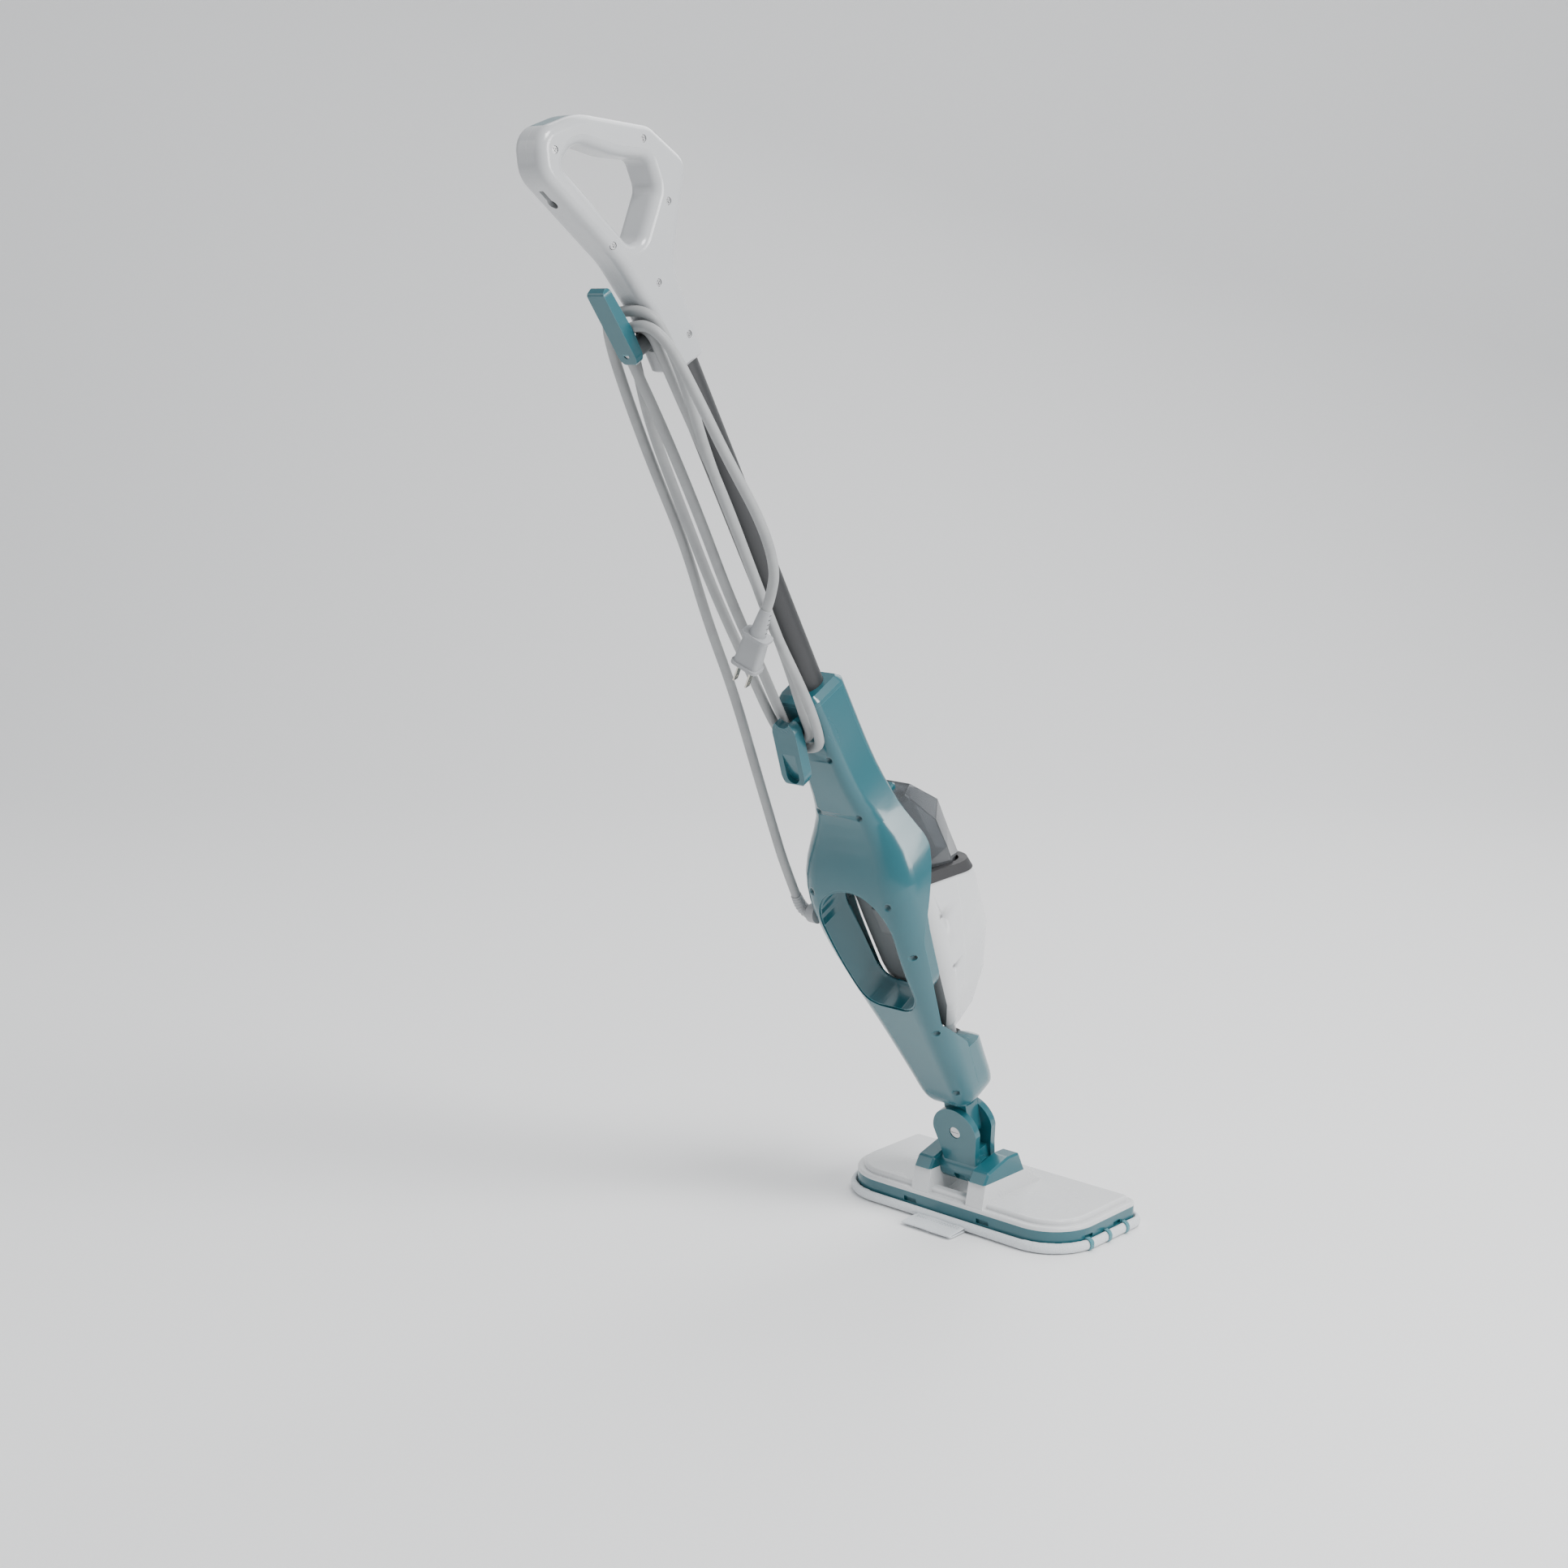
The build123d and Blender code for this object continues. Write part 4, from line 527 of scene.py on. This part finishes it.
def soft_copy(name, voxel, pressure):
    """The plain cushion remeshed evenly and puffed by a short cloth simulation."""
    mesh = nodes[name].data.copy()
    piece = link(bpy.data.objects.new("cloth_" + name, mesh))
    bpy.context.view_layer.objects.active = piece
    remesh = piece.modifiers.new("even", "REMESH")
    remesh.mode = "VOXEL"
    remesh.voxel_size = voxel
    bpy.ops.object.modifier_apply(modifier="even")
    start = [vertex.co.copy() for vertex in piece.data.vertices]
    if pressure:
        cloth = piece.modifiers.new("cloth", "CLOTH")
        cloth.settings.use_pressure = True
        cloth.settings.uniform_pressure_force = pressure
        cloth.settings.effector_weights.gravity = 0.0
        cloth.settings.quality = 5
        for step in range(1, CLOTH_STEPS + 1):
            bpy.context.scene.frame_set(step)
        bpy.ops.object.modifier_apply(modifier="cloth")
        bpy.context.scene.frame_set(1)
    for vertex, before in zip(piece.data.vertices, start):
        move = vertex.co - before
        if move.length > CLOTH_LIMIT:
            move *= CLOTH_LIMIT / move.length
        vertex.co = before + move
        vertex.co.z = max(vertex.co.z, FLOOR_GAP)
    rounded = piece.modifiers.new("rounded", "SUBSURF")
    rounded.levels = 1
    rounded.render_levels = 1
    bpy.ops.object.modifier_apply(modifier="rounded")
    for face in piece.data.polygons:
        face.use_smooth = True
    return piece


def cloth_material(name, colour, shade, loop_scale, depth):
    """Looped pile: small cells over a fine weave."""
    material, tree, shader = new_material(name)
    place = tree.nodes.new("ShaderNodeTexCoord")
    cells = tree.nodes.new("ShaderNodeTexVoronoi")
    cells.inputs["Scale"].default_value = loop_scale
    grain = place_group(tree, grain_tree, Scale=1500.0, Depth=0.5)
    bump = tree.nodes.new("ShaderNodeBump")
    bump.inputs["Strength"].default_value = depth
    bump.inputs["Distance"].default_value = 0.001
    tree.links.new(place.outputs["Object"], cells.inputs["Vector"])
    tree.links.new(cells.outputs["Distance"], bump.inputs["Height"])
    tree.links.new(grain.outputs["Normal"], bump.inputs["Normal"])
    body = mix_colours(tree, cells.outputs["Distance"], colour, shade)
    roughness = spread(tree, grain.outputs["Mask"], 0.80, 0.98)
    feed_shader(tree, shader, body, roughness, bump.outputs["Normal"])
    shader.inputs["Sheen Weight"].default_value = 0.4
    shader.inputs["Sheen Roughness"].default_value = 0.5
    return material


pile = cloth_material("microfibre_pile", (0.80, 0.83, 0.85), (0.62, 0.68, 0.72), 420.0, 0.8)
binding = cloth_material("rim_binding", (0.74, 0.77, 0.79), (0.60, 0.64, 0.67), 900.0, 0.5)
elastic = cloth_material("teal_elastic", (0.05, 0.26, 0.31), (0.03, 0.18, 0.22), 1300.0, 0.7)

for name, voxel, pressure, material, fill in (
    ("pad", 0.004, 3.0, pile, 0.8),
    ("pad_border", 0.0022, 3.0, binding, 0.7),
):
    piece = soft_copy(name, voxel, pressure)
    stand_in(piece, material, "mop_pad", name)

loops = soft_copy("pad_loops", 0.0005, 0.0)
stand_in(loops, elastic, "mop_pad", "pad_loops")

# ---- pull tab ----------------------------------------------------------------
# A strip of binding cloth folded back on itself, so that the fold stands a little open
# at the sides. It is sewn to the rim with two rows of thread.
tab_low, tab_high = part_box("pad_tab")
TAB_CLOTH = 0.0014         # thickness of the binding cloth
TAB_COLUMNS = 30
tab_rise = tab_high[2] - tab_low[2] - 0.001
tab_course = [
    (tab_low[1] + 0.001, tab_low[2] + 0.0008),
    (tab_high[1] - 0.010, tab_low[2] + 0.0006),
    (tab_high[1] - 0.004, tab_low[2] + 0.0008),
    (tab_high[1] - 0.0012, tab_low[2] + 0.28 * tab_rise),
    (tab_high[1] - 0.0016, tab_low[2] + 0.46 * tab_rise),
    (tab_high[1] - 0.005, tab_low[2] + 0.60 * tab_rise),
    (tab_high[1] - 0.012, tab_low[2] + 0.66 * tab_rise),
    (tab_low[1] + 0.001, tab_low[2] + 0.78 * tab_rise),
]


def tab_section(x):
    """Points round the folded strip at one place along it, outer face then inner face."""
    wave = 0.0004 * sin(170.0 * x) + 0.0003 * sin(61.0 * x + 1.0)
    lining = []
    for k, (y, z) in enumerate(tab_course):
        before = tab_course[max(k - 1, 0)]
        after = tab_course[min(k + 1, len(tab_course) - 1)]
        way = Vector((after[0] - before[0], after[1] - before[1])).normalized()
        lining.append((y - way.y * TAB_CLOTH, z + way.x * TAB_CLOTH))
    last = len(tab_course) - 1
    outer = [(y, z + wave * k / last) for k, (y, z) in enumerate(tab_course)]
    inner = [(y, z + wave * k / last) for k, (y, z) in enumerate(lining)]
    return [(x, y, z) for y, z in outer + inner[::-1]]


tab_shape = bmesh.new()
tab_rings = []
for column in range(TAB_COLUMNS + 1):
    x = tab_low[0] + (tab_high[0] - tab_low[0]) * column / TAB_COLUMNS
    tab_rings.append([tab_shape.verts.new(place) for place in tab_section(x)])
for ring, beside in zip(tab_rings, tab_rings[1:]):
    for k in range(len(ring)):
        after = (k + 1) % len(ring)
        tab_shape.faces.new((ring[k], ring[after], beside[after], beside[k]))
half_ring = len(tab_course)
for ring in (tab_rings[0], tab_rings[-1]):
    for k in range(half_ring - 1):
        tab_shape.faces.new((ring[k], ring[k + 1], ring[-k - 2], ring[-k - 1]))
bmesh.ops.recalc_face_normals(tab_shape, faces=tab_shape.faces)
tab_mesh = bpy.data.meshes.new("folded_tab")
tab_shape.to_mesh(tab_mesh)
tab_shape.free()
for face in tab_mesh.polygons:
    face.use_smooth = True
folded_tab = link(bpy.data.objects.new("folded_tab", tab_mesh))
tab_round = folded_tab.modifiers.new("rounded", "SUBSURF")
tab_round.levels = 1
tab_round.render_levels = 1
stand_in(folded_tab, binding, "mop_pad", "pad_tab")

thread, thread_tree, thread_shader = new_material("sewing_thread")
thread_grain = place_group(thread_tree, grain_tree, Scale=2500.0, Depth=0.6)
thread_tree.links.new(
    mix_colours(thread_tree, thread_grain.outputs["Mask"], (0.66, 0.69, 0.71), (0.48, 0.52, 0.55)),
    thread_shader.inputs["Base Color"],
)
thread_shader.inputs["Roughness"].default_value = 0.8
thread_tree.links.new(thread_grain.outputs["Normal"], thread_shader.inputs["Normal"])

STITCH_STEP = 0.0036
STITCH_STRETCH = 3.2       # a stitch's length over its thickness
STITCH_INSET = 0.003       # from the strip's ends to the first and last stitch
THREAD_RADIUS = 0.0004
STITCH_HEIGHT = tab_low[2] + 0.77 * tab_rise + 0.0002
stitches = bmesh.new()
row_count = int((tab_high[0] - tab_low[0] - 2 * STITCH_INSET) / STITCH_STEP)
for row_y in (tab_low[1] + 0.007, tab_low[1] + 0.010):
    for k in range(row_count):
        middle = tab_low[0] + STITCH_INSET + (k + 0.5) * STITCH_STEP
        bulb = bmesh.ops.create_uvsphere(
            stitches, u_segments=8, v_segments=6, radius=THREAD_RADIUS
        )
        for vertex in bulb["verts"]:
            vertex.co.x = vertex.co.x * STITCH_STRETCH + middle
            vertex.co.y += row_y
            vertex.co.z += STITCH_HEIGHT
stitch_mesh = bpy.data.meshes.new("tab_stitches")
stitches.to_mesh(stitch_mesh)
stitches.free()
tab_stitches = link(bpy.data.objects.new("tab_stitches", stitch_mesh))
tab_stitches.data.materials.append(thread)
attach(tab_stitches, "mop_pad")

# ---- studio ------------------------------------------------------------------
# A pale paper floor that curves up into a wall behind the mop, and four soft lamps. A
# weak pale world light fills the shadows.
BACKDROP_HALF = 7.0
WALL_DISTANCE = 3.5
CURVE_RADIUS = 1.5
WALL_HEIGHT = 5.0
CURVE_STEPS = 12
profile = [(-4.0, 0.0), (WALL_DISTANCE - CURVE_RADIUS, 0.0)]
for step in range(1, CURVE_STEPS + 1):
    turn = pi / 2 * step / CURVE_STEPS
    profile.append((
        WALL_DISTANCE - CURVE_RADIUS + CURVE_RADIUS * sin(turn),
        CURVE_RADIUS - CURVE_RADIUS * cos(turn),
    ))
profile.append((WALL_DISTANCE, WALL_HEIGHT))
sheet = bmesh.new()
rows = [
    [sheet.verts.new((x, y, z)) for x in (-BACKDROP_HALF, BACKDROP_HALF)] for y, z in profile
]
for low, high in zip(rows, rows[1:]):
    sheet.faces.new((low[0], low[1], high[1], high[0]))
backdrop_mesh = bpy.data.meshes.new("backdrop")
sheet.to_mesh(backdrop_mesh)
sheet.free()
for face in backdrop_mesh.polygons:
    face.use_smooth = True
backdrop = link(bpy.data.objects.new("backdrop", backdrop_mesh))
backdrop.rotation_euler.z = atan2(VIEW_DIRECTION.y, VIEW_DIRECTION.x) - pi / 2
paper, paper_tree, paper_shader = new_material("pale_paper")
paper_grain = place_group(paper_tree, grain_tree, Scale=300.0, Depth=0.05)
paper_tree.links.new(
    mix_colours(paper_tree, paper_grain.outputs["Mask"], (0.86, 0.86, 0.86), (0.90, 0.90, 0.90)),
    paper_shader.inputs["Base Color"],
)
paper_shader.inputs["Roughness"].default_value = 0.9
backdrop.data.materials.append(paper)

world = bpy.data.worlds.new("studio")
world.use_nodes = True
world.node_tree.nodes["Background"].inputs["Color"].default_value = (0.93, 0.96, 1.0, 1.0)
world.node_tree.nodes["Background"].inputs["Strength"].default_value = 0.55
bpy.context.scene.world = world

TARGET = Vector((0.0, 0.25, 0.5))
for name, place, size, power in (
    ("key", (-1.9, 0.6, 2.9), 1.0, 90.0),
    ("side", (-2.4, -0.6, 1.3), 0.9, 40.0),
    ("fill", (2.2, 2.6, 1.6), 2.0, 16.0),
    ("backdrop", (0.6, -1.6, 2.6), 2.4, 60.0),
):
    lamp = bpy.data.lights.new(name, "AREA")
    lamp.size = size
    lamp.energy = power
    lamp_object = link(bpy.data.objects.new(name, lamp))
    lamp_object.location = place
    lamp_object.rotation_euler = (TARGET - Vector(place)).to_track_quat("-Z", "Y").to_euler()
